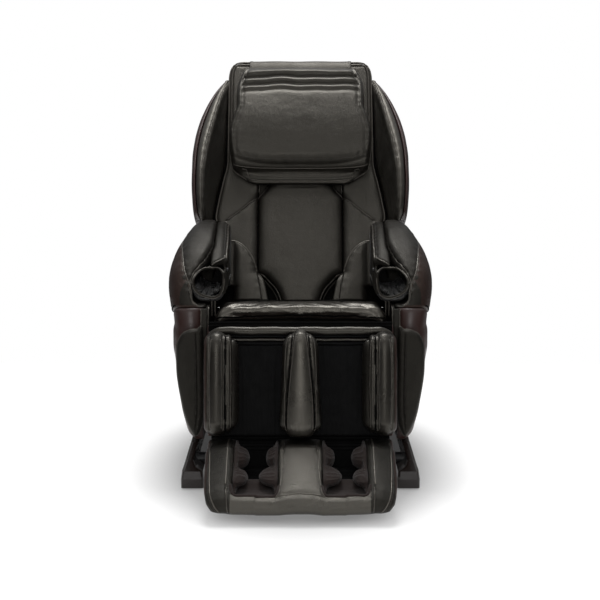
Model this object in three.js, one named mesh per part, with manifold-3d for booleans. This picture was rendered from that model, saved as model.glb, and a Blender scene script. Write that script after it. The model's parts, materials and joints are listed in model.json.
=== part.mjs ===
// A full-body massage chair: a low steel base with side covers, a seat body with deep arm
// massagers, a reclining back with a travelling roller carriage, side wings, a head pillow,
// and a leg rest whose foot box slides out as it lifts.
// Millimetres, +Z up, the sitter faces -Y, +X is the sitter's left. The origin is on the
// floor under the middle of the object's bounding box.
import * as THREE from "three";
import { mergeVertices } from "three/addons/utils/BufferGeometryUtils.js";
import Module from "manifold-3d";

const wasm = await Module();
wasm.setup();

// ---------------------------------------------------------------- driving dimensions
const Y_SHIFT = 17.77; // moves the whole chair so that the origin is under the box's middle
const TILT_PIVOT = [80, 300]; // y, z of the seat body's pivot on the base
const RECLINE_PIVOT = [185, 415]; // y, z of the backrest hinge
const LEG_PIVOT = [-300, 420]; // y, z of the leg rest hinge
const BACK_ORIGIN = [123, 446]; // y, z of the foot of the backrest's front face
const BACK_LEAN = (27 * Math.PI) / 180; // backrest lean from vertical when upright
const LEG_LEAN = (10.14 * Math.PI) / 180; // leg rest lean from vertical when lowered
const BACK_LENGTH = 800; // along the backrest
const SKID = { y0: -320, y1: 520, h: 55, xIn: 268, xOut: 331 };
const SHELL_WALL = 5;
const PIN_R = 8;
const HOLE_R = 8.6;
const GAP = 0.6; // between touching pieces

// ---------------------------------------------------------------- helpers
const V2 = (p) => new THREE.Vector2(p[0], p[1]);
const lerp = (a, b, t) => a + (b - a) * t;
// piecewise linear value from a table of [key, value...] rows
function table(rows, k, col = 1) {
  if (k <= rows[0][0]) return rows[0][col];
  for (let i = 1; i < rows.length; i++)
    if (k <= rows[i][0])
      return lerp(
        rows[i - 1][col],
        rows[i][col],
        (k - rows[i - 1][0]) / (rows[i][0] - rows[i - 1][0]),
      );
  return rows[rows.length - 1][col];
}
// a closed outline through the given points, smoothed
function smooth(points, n, tension = 0.5) {
  const c = new THREE.CatmullRomCurve3(
    points.map((p) => new THREE.Vector3(p[0], p[1], 0)),
    true,
    "catmullrom",
    tension,
  );
  return c
    .getPoints(n)
    .slice(0, n)
    .map((p) => [p.x, p.y]);
}
// a rectangle with rounded corners as an outline
function rrect(x0, y0, x1, y1, r, k = 3) {
  const out = [];
  const corner = (cx, cy, a0) => {
    for (let i = 0; i <= k; i++) {
      const a = a0 + (Math.PI / 2) * (i / k);
      out.push([cx + r * Math.cos(a), cy + r * Math.sin(a)]);
    }
  };
  corner(x1 - r, y1 - r, 0);
  corner(x0 + r, y1 - r, Math.PI / 2);
  corner(x0 + r, y0 + r, Math.PI);
  corner(x1 - r, y0 + r, 1.5 * Math.PI);
  return out;
}
function solid(geometry, matrix) {
  const g = geometry.index ? geometry.toNonIndexed() : geometry.clone();
  const only = new THREE.BufferGeometry().setAttribute(
    "position",
    g.getAttribute("position"),
  );
  if (matrix) only.applyMatrix4(matrix);
  const m = mergeVertices(only, 1e-3);
  return new wasm.Manifold(
    new wasm.Mesh({
      numProp: 3,
      vertProperties: m.attributes.position.array,
      triVerts: new Uint32Array(m.index.array),
    }),
  );
}
function geometryOf(man) {
  const m = man.getMesh();
  const v = new Float32Array(m.numVert * 3);
  for (let i = 0; i < m.numVert; i++)
    v.set(m.vertProperties.subarray(i * m.numProp, i * m.numProp + 3), i * 3);
  return new THREE.BufferGeometry()
    .setAttribute("position", new THREE.BufferAttribute(v, 3))
    .setIndex(new THREE.BufferAttribute(new Uint32Array(m.triVerts), 1));
}
const join = (...list) => list.reduce((a, b) => a.add(b));
const cut = (a, ...list) => list.reduce((x, b) => x.subtract(b), a);
// sides between rings of equal length, with flat caps on the first and the last ring
function loft(rings) {
  const n = rings[0].length;
  const pos = rings.flat().flat();
  const idx = [];
  for (let r = 0; r + 1 < rings.length; r++)
    for (let i = 0; i < n; i++) {
      const a = r * n + i,
        b = r * n + ((i + 1) % n),
        c = a + n,
        d = b + n;
      idx.push(a, b, d, a, d, c);
    }
  const cap = (ring, base, flip) => {
    let nx = 0,
      ny = 0,
      nz = 0;
    ring.forEach((p, i) => {
      const q = ring[(i + 1) % n];
      nx += (p[1] - q[1]) * (p[2] + q[2]);
      ny += (p[2] - q[2]) * (p[0] + q[0]);
      nz += (p[0] - q[0]) * (p[1] + q[1]);
    });
    const ax = Math.abs(nx),
      ay = Math.abs(ny),
      az = Math.abs(nz);
    let f, sign;
    if (ax >= ay && ax >= az) ((f = (p) => [p[1], p[2]]), (sign = nx));
    else if (ay >= az) ((f = (p) => [p[2], p[0]]), (sign = ny));
    else ((f = (p) => [p[0], p[1]]), (sign = nz));
    const contour = ring.map((p) => V2(f(p)));
    const reversed = sign < 0;
    const c = reversed ? [...contour].reverse() : contour;
    for (const t of THREE.ShapeUtils.triangulateShape(c, [])) {
      const q = t.map((i) => base + (reversed ? n - 1 - i : i));
      if (reversed) q.reverse();
      // q now turns the way the ring turns
      idx.push(...(flip ? [q[0], q[2], q[1]] : q));
    }
  };
  cap(rings[0], 0, true);
  cap(rings[rings.length - 1], (rings.length - 1) * n, false);
  const g = new THREE.BufferGeometry()
    .setAttribute("position", new THREE.BufferAttribute(new Float32Array(pos), 3))
    .setIndex(idx);
  // turn it outwards when the rings ran the other way
  let vol = 0;
  for (let i = 0; i < idx.length; i += 3) {
    const [a, b, c] = [idx[i], idx[i + 1], idx[i + 2]].map(
      (k) => new THREE.Vector3(pos[3 * k], pos[3 * k + 1], pos[3 * k + 2]),
    );
    vol += a.dot(b.clone().cross(c));
  }
  if (vol < 0) {
    for (let i = 0; i < idx.length; i += 3)
      [idx[i + 1], idx[i + 2]] = [idx[i + 2], idx[i + 1]];
    g.setIndex(idx);
  }
  return solid(g);
}
function extrude(outline, depth) {
  return new THREE.ExtrudeGeometry(new THREE.Shape(outline.map(V2)), {
    depth,
    steps: 1,
    bevelEnabled: false,
    curveSegments: 6,
  });
}
// like extrude, with the ends drawn in towards the outline's middle over the last b
function softEnds(outline, depth, b) {
  let u0 = Infinity,
    u1 = -Infinity,
    v0 = Infinity,
    v1 = -Infinity;
  for (const [u, v] of outline) {
    u0 = Math.min(u0, u);
    u1 = Math.max(u1, u);
    v0 = Math.min(v0, v);
    v1 = Math.max(v1, v);
  }
  const cu = (u0 + u1) / 2,
    cv = (v0 + v1) / 2;
  const ring = (t, inset) =>
    outline.map(([u, v]) => [
      cu + (u - cu) * (1 - (2 * inset) / (u1 - u0)),
      cv + (v - cv) * (1 - (2 * inset) / (v1 - v0)),
      t,
    ]);
  return loft([
    ring(0, b),
    ring(0.3 * b, 0.3 * b),
    ring(b, 0),
    ring(depth - b, 0),
    ring(depth - 0.3 * b, 0.3 * b),
    ring(depth, b),
  ]);
}
const M = () => new THREE.Matrix4();
const place = (outline, depth, b, m) =>
  b > 0 ? softEnds(outline, depth, b).transform(m.elements) : solid(extrude(outline, depth), m);
// outline in (y, z), extruded along x from x0 to x1
const alongX = (o, x0, x1, b = 0) =>
  place(o, x1 - x0, b, M().set(0, 0, 1, x0, 1, 0, 0, 0, 0, 1, 0, 0, 0, 0, 0, 1));
// outline in (x, z), extruded along y from y0 to y1
const alongY = (o, y0, y1, b = 0) =>
  place(
    o.map(([x, z]) => [z, x]),
    y1 - y0,
    b,
    M().set(0, 1, 0, 0, 0, 0, 1, y0, 1, 0, 0, 0, 0, 0, 0, 1),
  );
// outline in (x, y), extruded along z from z0 to z1
const alongZ = (o, z0, z1, b = 0) =>
  place(o, z1 - z0, b, M().makeTranslation(0, 0, z0));
const block = (x0, y0, z0, x1, y1, z1) =>
  solid(
    new THREE.BoxGeometry(x1 - x0, y1 - y0, z1 - z0),
    M().makeTranslation((x0 + x1) / 2, (y0 + y1) / 2, (z0 + z1) / 2),
  );
const rod = (axis, r, at, from, to, seg = 20) => {
  const g = new THREE.CylinderGeometry(r, r, to - from, seg);
  if (axis === "x") g.rotateZ(Math.PI / 2).translate((from + to) / 2, at[0], at[1]);
  if (axis === "y") g.translate(at[0], (from + to) / 2, at[1]);
  if (axis === "z") g.rotateX(Math.PI / 2).translate(at[0], at[1], (from + to) / 2);
  return solid(g);
};
const mirrorX = (man) => man.mirror([1, 0, 0]);
const moved = (man, x, y, z) => man.translate([x, y, z]);

const COLOURS = {
  leather: [0x1d1b19, 0.42, 0.0],
  leather_brown: [0x231a17, 0.45, 0.0],
  gathered: [0x241b18, 0.8, 0.0],
  lining: [0x0c0c0d, 0.85, 0.0],
  brown_shell: [0x2c1e1b, 0.22, 0.1],
  base_gloss: [0x3a302c, 0.15, 0.3],
  black_plastic: [0x141414, 0.5, 0.0],
  steel: [0x2b2c2e, 0.45, 0.8],
  bright_steel: [0xb9bcc0, 0.3, 1.0],
  rubber: [0x101010, 0.9, 0.0],
  roller: [0xa06a3a, 0.55, 0.0],
};
const chair = new THREE.Group();
chair.position.y = Y_SHIFT;
const groups = { world: chair };
function part(name, man, colour, group = "world") {
  const [c, roughness, metalness] = COLOURS[colour];
  const mesh = new THREE.Mesh(
    geometryOf(man),
    new THREE.MeshStandardMaterial({ color: c, roughness, metalness }),
  );
  mesh.name = name;
  groups[group].add(mesh);
}
// The same piece on both sides of the chair
function pair(name, man, colour, group = "world") {
  part("left_" + name, man, colour, group);
  part("right_" + name, mirrorX(man), colour, group);
}
// frames turned with the backrest and with the leg rest
function turned(name, y, z, lean) {
  const g = new THREE.Group();
  g.position.set(0, y, z);
  g.rotation.x = -lean;
  chair.add(g);
  groups[name] = g;
  const m = M().makeRotationX(-lean).setPosition(0, y, z);
  return m;
}
const backMatrix = turned("back", BACK_ORIGIN[0], BACK_ORIGIN[1], BACK_LEAN);
const legMatrix = turned("leg", LEG_PIVOT[0], LEG_PIVOT[1], LEG_LEAN);
// y, z of a chair point in a turned frame
function into(matrix, y, z) {
  const p = new THREE.Vector3(0, y, z).applyMatrix4(matrix.clone().invert());
  return [p.y, p.z];
}
const HINGE_B = into(backMatrix, ...RECLINE_PIVOT); // backrest hinge in the back frame

// ================================================================ base
// Two rails carry two pivot plates; cross tubes join them to the rails in the skids.
{
  const plate = (x0, x1) =>
    alongX(
      [
        [-60, 70],
        [230, 70],
        [230, 90],
        [112, 300],
        [100, 322],
        [80, 330],
        [60, 322],
        [48, 300],
        [-60, 90],
      ],
      x0,
      x1,
    );
  let f = join(
    rod("x", 17, [-200, 60], -300, 300, 16),
    rod("x", 17, [430, 60], -300, 300, 16),
    block(200, -200, 42, 230, 430, 78),
    block(-230, -200, 42, -200, 430, 78),
    block(288, -285, 16, 312, 490, 46),
    block(-312, -285, 16, -288, 490, 46),
    block(288, -215, 40, 312, -185, 76),
    block(-312, -215, 40, -288, -185, 76),
    block(288, 415, 40, 312, 445, 76),
    block(-312, 415, 40, -288, 445, 76),
    plate(209, 221),
    plate(-221, -209),
    // stub axles and their lugs
    block(222, 430, 30, 230, 492, 56),
    block(-230, 430, 30, -222, 492, 56),
    rod("x", 6, [480, 36], 223, 262, 12),
    rod("x", 6, [480, 36], -262, -223, 12),
    // shelf under the control box
    block(-130, 330, 72, 130, 425, 80),
    block(-215, 350, 72, 215, 380, 78),
  );
  // welded stub shafts that the seat body swings on
  f = join(f, rod("x", PIN_R, TILT_PIVOT, 215, 252), rod("x", PIN_R, TILT_PIVOT, -252, -215));
  part("base_frame", f, "steel");
}
// Skid and leaning side panel, moulded in one piece
{
  const W = [
    // z, inner x, outer x, front y, rear y of the panel
    [4, 268, 331, -318, 516],
    [30, 268, 331, -321, 520],
    [52, 270, 328, -319, 517],
    [60, 290, 325, -300, 500],
    [72, 299, 321, -272, 470],
    [90, 294, 316, -250, 430],
    [112, 287, 309, -224, 380],
    [128, 285, 306, -112, 360],
    [150, 281, 302, -60, 335],
    [180, 278, 297, 60, 300],
    [192, 277, 295, 110, 275],
  ];
  const rings = W.map(([z, a, b, f, r]) => {
    const o = rrect(a, f, b, r, Math.min(7, (b - a) / 2 - 1), 2);
    return o.map(([x, y]) => [x, y, z]);
  });
  let cover = loft(rings);
  cover = cut(
    cover,
    block(286, -288, 0, 314, 493, 48), // channel for the rail, open below
    block(250, -219, 38, 300, -181, 79),
    block(286, -219, 38, 314, -181, 78),
    block(286, 411, 38, 314, 449, 78),
    block(250, 411, 38, 300, 449, 79),
  );
  pair("base_cover", cover, "base_gloss");
  const strip = join(
    alongZ(rrect(288, -285, 312, -225, 11, 3), 0, 15.4),
    alongZ(rrect(288, 425, 312, 490, 11, 3), 0, 15.4),
    block(294, -280, 9, 306, 470, 15.4),
  );
  pair("foot_strip", strip, "rubber");
}
// Rear transport wheels on the stub axles
{
  const tyre = new THREE.LatheGeometry(
    [
      [6.4, -9],
      [24, -9],
      [29, -6],
      [30, -2],
      [30, 2],
      [29, 6],
      [24, 9],
      [6.4, 9],
    ].concat([[6.4, -9]]).map(V2),
    24,
  );
  tyre.rotateZ(Math.PI / 2).translate(246, 480, 36);
  pair("transport_wheel", solid(tyre), "rubber");
}
// Control box with the mains inlet and its rocker switch, on the rear shelf
{
  const bx = alongY(rrect(-120, 80.6, 120, 168, 10, 3), 300, 424, 0);
  const open = join(block(-58, 410, 100, 58, 430, 150), block(10, 402, 104, 46, 430, 146));
  part("control_box", cut(bx, open), "black_plastic");
  let inlet = block(-57.4, 411, 100.6, 57.4, 423, 149.4);
  inlet = cut(
    inlet,
    alongY(rrect(-46, 108, -8, 142, 6, 3), 415, 440), // appliance inlet
    block(12, 405, 106, 44, 430, 144), // switch pocket
  );
  const pins = join(
    block(-38.5, 414, 120, -34, 421, 128),
    block(-20, 414, 120, -15.5, 421, 128),
    block(-29.5, 414, 130, -24.5, 421, 136),
  );
  part("power_inlet", join(inlet, pins), "black_plastic");
  part(
    "power_switch",
    alongX(
      [
        [416, 111],
        [424, 109],
        [423, 125],
        [427, 141],
        [416, 139],
      ],
      14,
      42,
    ),
    "black_plastic",
  );
}

// ================================================================ seat body
{
  const plate = (x0, x1) =>
    alongX(
      [
        [-300, 398],
        [-285, 392],
        [-240, 352],
        [-120, 322],
        [30, 290],
        [60, 270],
        [100, 270],
        [125, 300],
        [200, 385],
        [212, 405],
        [205, 432],
        [185, 440],
        [165, 436],
        [140, 378],
        [60, 368],
        [-120, 386],
        [-238, 404],
        [-278, 440],
        [-300, 443],
        [-320, 432],
        [-322, 408],
      ],
      x0,
      x1,
    );
  let f = join(
    plate(236, 244),
    plate(-244, -236),
    rod("x", 12, [-205, 372], -240, 240, 12),
    // pan that carries the cushion
    alongX(
      [
        [-232, 398],
        [108, 364],
        [108, 369],
        [-232, 403],
      ],
      -237,
      237,
    ),
    alongX(
      [
        [-232, 362],
        [-222, 362],
        [-222, 400],
        [-232, 401],
      ],
      -237,
      237,
    ),
    block(-40, -62, 330, -34, -28, 384), // actuator brackets
    block(34, -62, 330, 40, -28, 384),
    // brackets out to the side shells
    block(240, -200, 350, 268, -150, 372),
    block(-268, -200, 350, -240, -150, 372),
    block(240, 100, 330, 268, 150, 352),
    block(-268, 100, 330, -240, 150, 352),
  );
  f = cut(
    f,
    rod("x", HOLE_R, TILT_PIVOT, -260, 260),
    rod("x", HOLE_R, RECLINE_PIVOT, -260, 260),
    rod("x", HOLE_R, LEG_PIVOT, -260, 260),
    rod("x", 6.6, [-45, 345], -60, 60, 12),
    // lightening holes in the plates
    rod("x", 16, [-180, 360], 230, 250, 12),
    rod("x", 16, [-180, 360], -250, -230, 12),
  );
  part("seat_frame", f, "steel");
  part("recline_pin", rod("x", PIN_R, RECLINE_PIVOT, -250, 250), "bright_steel");
  part("legrest_pin", rod("x", PIN_R, LEG_PIVOT, -252, 252), "bright_steel");
}
// Seat cushion on the pan: highest at the front, thin at the back
part(
  "seat_cushion",
  alongX(
    smooth(
      [
        [-246, 474],
        [-246, 496],
        [-222, 508],
        [-150, 498],
        [0, 474],
        [90, 458],
        [110, 440],
        [110, 380],
        [60, 378],
        [-100, 394],
        [-210, 406],
        [-215, 440],
        [-232, 466],
      ],
      34,
      0.3,
    ),
    -247,
    247,
    10,
  ),
  "leather",
);
part(
  "seat_front_roll",
  alongX(
    smooth(
      [
        [-243, 372],
        [-243, 440],
        [-236, 455],
        [-225, 450],
        [-222, 416],
        [-234.6, 406],
        [-234.6, 366],
      ],
      24,
      0.25,
    ),
    -234.5,
    234.5,
    3,
  ),
  "leather",
);

// Side body: a rounded form given by its width and its front and rear ends at each height
const SIDE = [
  // z, outer x, front y, rear y
  [122, 300, -232, -170],
  [145, 318, -250, -100],
  [170, 327, -258, -10],
  [208, 339, -262, 120],
  [255, 347, -262, 262],
  [300, 354, -262, 360],
  [345, 361, -262, 410],
  [384, 367, -262, 436],
  [420, 367, -262, 446],
  [442, 363, -262, 448],
  [470, 366, -256, 446],
  [500, 373, -245, 438],
  [530, 377, -232, 426],
  [560, 378, -214, 408],
  [590, 375, -192, 388],
  [615, 367, -165, 364],
  [645, 353, -124, 322],
  [673, 335, -70, 262],
  [692, 318, -22, 215],
  [706, 296, 40, 190],
];
function sideForm(xin, inset, z0, z1) {
  const zs = [z0, ...SIDE.map((r) => r[0]).filter((z) => z > z0 + 3 && z < z1 - 3), z1];
  const n = 16;
  return loft(
    zs.map((z) => {
      const xo = table(SIDE, z, 1) - inset,
        f = table(SIDE, z, 2) + inset,
        r = table(SIDE, z, 3) - inset;
      const ring = [];
      for (let i = 0; i <= n; i++) {
        const a = -Math.PI / 2 + (Math.PI * i) / n;
        const c = Math.cos(a),
          s = Math.sin(a);
        ring.push([
          Math.max(xin, xin + (xo - xin) * Math.pow(Math.max(c, 0), 0.32)),
          (f + r) / 2 + ((r - f) / 2) * Math.sign(s) * Math.pow(Math.abs(s), 0.62),
          z,
        ]);
      }
      return ring;
    }),
  );
}
// The joint between the plastic shell and the upholstered arm dips, then rises to the rear
const SPLIT = [
  [-700, 515],
  [-262, 501],
  [-235, 495],
  [-200, 484],
  [-160, 472],
  [-110, 461],
  [-50, 453],
  [20, 450],
  [100, 453],
  [180, 463],
  [250, 477],
  [320, 496],
  [380, 518],
  [440, 545],
  [900, 700],
];
const above = alongX(
  [...SPLIT.map(([y, z]) => [y, z + GAP]), [900, 1500], [-700, 1500]],
  -900,
  900,
);
const below = alongX(
  [...SPLIT.map(([y, z]) => [y, z - GAP]), [900, -300], [-700, -300]],
  -900,
  900,
);
// the backrest's swept space, in front of which the arms end
const backSpace = solid(
  new THREE.BoxGeometry(1200, 900, 1600),
  backMatrix.clone().multiply(M().makeTranslation(0, 450 - 16, 200)),
);
// outside this circle about the backrest hinge the wings come past
const wingSpace = cut(block(-900, 165, 430, 900, 1200, 1500), rod("x", 283.5, RECLINE_PIVOT, -950, 950, 64));
{
  const outer = sideForm(272, 0, 122, 640);
  const inner = sideForm(240, SHELL_WALL, 126, 640);
  const shell = cut(outer.intersect(below), inner);
  // a rib inside, screwed to the seat frame's brackets
  const rib = join(
    block(272, -200, 350, 358, -196, 372),
    block(272, -200, 350, 290, -150, 372),
    block(272, 100, 330, 290, 150, 352),
    block(272, 146, 330, 358, 150, 352),
  );
  pair("side_shell", join(shell, rib), "brown_shell");

  // Arm cushion: the upper part of the side form, with the forearm tunnel cut out
  const roof = [
    [-260, 566],
    [-200, 572],
    [-150, 592],
    [-80, 612],
    [0, 625],
    [140, 634],
  ];
  const tunnel = loft(
    [-270, -200, -150, -80, 0, 140].map((y) =>
      rrect(180, 503, 305, table(roof, y), 22, 3).map(([x, z]) => [x, y, z]),
    ),
  );
  let arm = sideForm(263, 0, 440, 706).intersect(above);
  arm = cut(arm, tunnel, wingSpace);
  pair("arm_cushion", arm, "leather");

  // Inner flap: a padded wall with a lip that closes over the forearm
  const TOP = [
    [-196, 578],
    [-170, 600],
    [-120, 630],
    [-60, 660],
    [0, 681],
    [80, 698],
    [260, 702],
  ];
  const flapRings = [-196, -170, -120, -60, 0, 80, 160, 262].map((y) => {
    const t = table(TOP, y) - 4,
      r = Math.min(table(roof, y) + 2, t - 14);
    return [
      [209, y, 546],
      [219.5, y, 546],
      [219.5, y, r - 6],
      [226, y, r],
      [259, y, r],
      [261.5, y, r + 4],
      [261.5, y, t - 10],
      [254, y, t],
      [228, y, t],
      [209, y, t - 16],
    ];
  });
  pair("arm_flap", cut(loft(flapRings), backSpace, wingSpace), "leather");

  // Cup: the lining under the forearm
  const U = (y, e) => [
    [210, y, 543],
    [210, y, 530 + e],
    [222, y, 516 + e],
    [245, y, 508 + e],
    [280, y, 508 + e],
    [297, y, 520 + e],
    [302.5, y, 535],
    [302.5, y, 552],
    [298, y, 552],
    [297.5, y, 538 + e],
    [278, y, 514 + e],
    [246, y, 514 + e],
    [226, y, 522 + e],
    [216, y, 534 + e],
    [216, y, 543],
  ];
  const cup = loft([U(-206, 0), U(-60, 2), U(138, 4)]);
  pair("arm_cup", cut(cup, backSpace), "lining");

  // Inner side panel between the shell and the seat
  pair(
    "inner_panel",
    cut(
      alongX(
        smooth(
          [
            [-256, 380],
            [-256, 440],
            [-240, 500],
            [-215, 503],
            [100, 503],
            [150, 500],
            [140, 400],
            [120, 362],
            [0, 374],
            [-200, 376],
          ],
          30,
          0.2,
        ),
        256,
        262.4,
        1.5,
      ),
      backSpace,
    ),
    "leather",
  );
  // Front fin: the leather pad on the shell's lower front
  const finOutline = smooth(
    [
      [268, 438],
      [268, 300],
      [268.5, 200],
      [277, 160],
      [291, 142],
      [306, 160],
      [321, 200],
      [334, 260],
      [342, 320],
      [343, 366],
      [334, 396],
      [313, 424],
      [290, 438],
    ],
    30,
    0.35,
  );
  pair("front_fin", alongY(finOutline, -292, -263, 7), "leather");
}
// Air pump and the recline actuator under the seat
{
  part(
    "air_pump",
    join(
      alongX(rrect(-190, 262, -86, 338, 10, 3), -150, 30),
      rod("z", 10, [-110, -138], 336, 387.5, 12),
      rod("z", 10, [0, -138], 336, 387.5, 12),
    ),
    "black_plastic",
  );
  let act = join(
    rod("y", 19, [0, 345], -60, 70, 16),
    alongY(rrect(-28, 262, 28, 372, 12, 3), -60, -22),
    rod("y", 22, [0, 285], -22, 60, 16),
    rod("x", 6, [-45, 345], -46, 46, 12),
  );
  act = cut(act, rod("y", 9, [0, 345], -47, 90, 16));
  part("recline_actuator", act, "black_plastic");
  let rd = join(
    rod("y", 8, [0, 345], 4, 178, 16),
    rod("x", 13, [185, 345], -9, 9, 16),
  );
  part("recline_rod", rd, "bright_steel");
}

// ================================================================ backrest (in its own frame)
// local y runs rearwards from the front face, local z up along the back
const HB = HINGE_B;
{
  const lug = (x0, x1) =>
    alongX(
      smooth(
        [
          [HB[0] - 20, HB[1]],
          [HB[0] - 16, HB[1] - 16],
          [HB[0], HB[1] - 22],
          [HB[0] + 18, HB[1] - 14],
          [HB[0] + 24, HB[1] + 10],
          [118, 60],
          [118, 110],
          [96, 110],
          [90, 60],
        ],
        22,
        0.2,
      ),
      x0,
      x1,
    );
  const lever = (x0, x1) =>
    solid(
      extrude(
        smooth(
          [
            [-14, 16],
            [14, 16],
            [13, -60],
            [8, -84],
            [-8, -84],
            [-13, -60],
          ],
          14,
          0.2,
        ),
        x1 - x0,
      ),
      M().set(0, 0, 1, x0, 1, 0, 0, 0, 0, 1, 0, 0, 0, 0, 0, 1),
    );
  // the lever hangs straight down under the hinge when the back is upright
  const placed = (man) =>
    man.rotate([(BACK_LEAN * 180) / Math.PI, 0, 0]).translate([0, HB[0], HB[1]]);
  let f = join(
    block(172, 92, 40, 194, 116, 770),
    block(-194, 92, 40, -172, 116, 770),
    rod("x", 11, [104, 770], -194, 194, 12),
    rod("x", 15, HB, -194, 194, 20),
    lug(172, 194),
    lug(-194, -172),
    placed(lever(11, 19)),
    placed(lever(-19, -11)),
    // guide rails for the carriage, and the screw's two bearing blocks
    block(138, 100, 80, 150, 116, 765),
    block(-150, 100, 80, -138, 116, 765),
    block(-150, 103, 80, 150, 116, 94),
    block(-194, 100, 752, 194, 116, 765),
    block(-16, 100, 78, 16, 144, 96),
    block(-16, 100, 748, 16, 144, 766),
    block(138, 96, 84, 194, 112, 100),
    block(-194, 96, 84, -138, 112, 100),
  );
  f = cut(
    f,
    rod("x", HOLE_R, HB, -260, 260),
    rod("z", 8.6, [0, 130], 60, 780, 16),
    // the lever's eyes
    placed(rod("x", 6, [0, -70], -30, 30, 12)),
  );
  part("back_frame", f, "steel", "back");
  part("lead_screw", join(rod("z", 8, [0, 130], 70, 772, 12), rod("z", 11, [0, 130], 767.5, 773, 12), rod("z", 11, [0, 130], 68, 77, 12)), "bright_steel", "back");
}
// Massage carriage: rest position low on the back
const CAR_Z = 250;
{
  let car = join(
    alongZ(rrect(-124, 106, 124, 142, 8, 2), CAR_Z - 48, CAR_Z + 48),
    block(-160, 119, CAR_Z - 34, 160, 126, CAR_Z - 14),
    block(-160, 119, CAR_Z + 14, 160, 126, CAR_Z + 34),
    // bearing ears for the two arms
    block(58, 96, CAR_Z - 30, 82, 112, CAR_Z - 20),
    block(58, 96, CAR_Z + 20, 82, 112, CAR_Z + 30),
    block(-82, 96, CAR_Z - 30, -58, 112, CAR_Z - 20),
    block(-82, 96, CAR_Z + 20, -58, 112, CAR_Z + 30),
    rod("z", 4, [70, 101], CAR_Z - 30, CAR_Z + 30, 12),
    rod("z", 4, [-70, 101], CAR_Z - 30, CAR_Z + 30, 12),
  );
  car = cut(
    car,
    rod("z", 9.2, [0, 130], CAR_Z - 60, CAR_Z + 60, 16),
    block(50, 90, CAR_Z - 19, 90, 116, CAR_Z + 19).subtract(rod("z", 4, [70, 101], CAR_Z - 60, CAR_Z + 60, 12)),
    block(-90, 90, CAR_Z - 19, -50, 116, CAR_Z + 19).subtract(rod("z", 4, [-70, 101], CAR_Z - 60, CAR_Z + 60, 12)),
  );
  part("massage_carriage", car, "black_plastic", "back");
  // one arm: a hub on the carriage, a rocker, and two axle ends
  let arm = join(
    rod("z", 10, [70, 101], CAR_Z - 17, CAR_Z + 17, 14),
    block(64, 84, CAR_Z - 14, 76, 101, CAR_Z + 14),
    alongX(
      smooth(
        [
          [88, CAR_Z - 62],
          [76, CAR_Z - 70],
          [66, CAR_Z - 62],
          [70, CAR_Z - 30],
          [78, CAR_Z],
          [70, CAR_Z + 30],
          [66, CAR_Z + 62],
          [76, CAR_Z + 70],
          [88, CAR_Z + 62],
          [92, CAR_Z],
        ],
        20,
        0.3,
      ),
      65,
      75,
    ),
    rod("x", 5, [76, CAR_Z - 60], 40, 72, 12),
    rod("x", 5, [76, CAR_Z + 60], 40, 72, 12),
  );
  arm = cut(arm, rod("z", 4.5, [70, 101], CAR_Z - 30, CAR_Z + 30, 12));
  pair("massage_arm", arm, "bright_steel", "back");
  const wheel = (z) => {
    const g = new THREE.LatheGeometry(
      [
        [5.4, -11],
        [17, -11],
        [22, -7],
        [24, 0],
        [22, 7],
        [17, 11],
        [5.4, 11],
        [5.4, -11],
      ].map(V2),
      20,
    );
    g.rotateZ(Math.PI / 2).translate(50, 76, z);
    return solid(g);
  };
  pair("upper_roller", wheel(CAR_Z + 60), "roller", "back");
  pair("lower_roller", wheel(CAR_Z - 60), "roller", "back");
}
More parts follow.
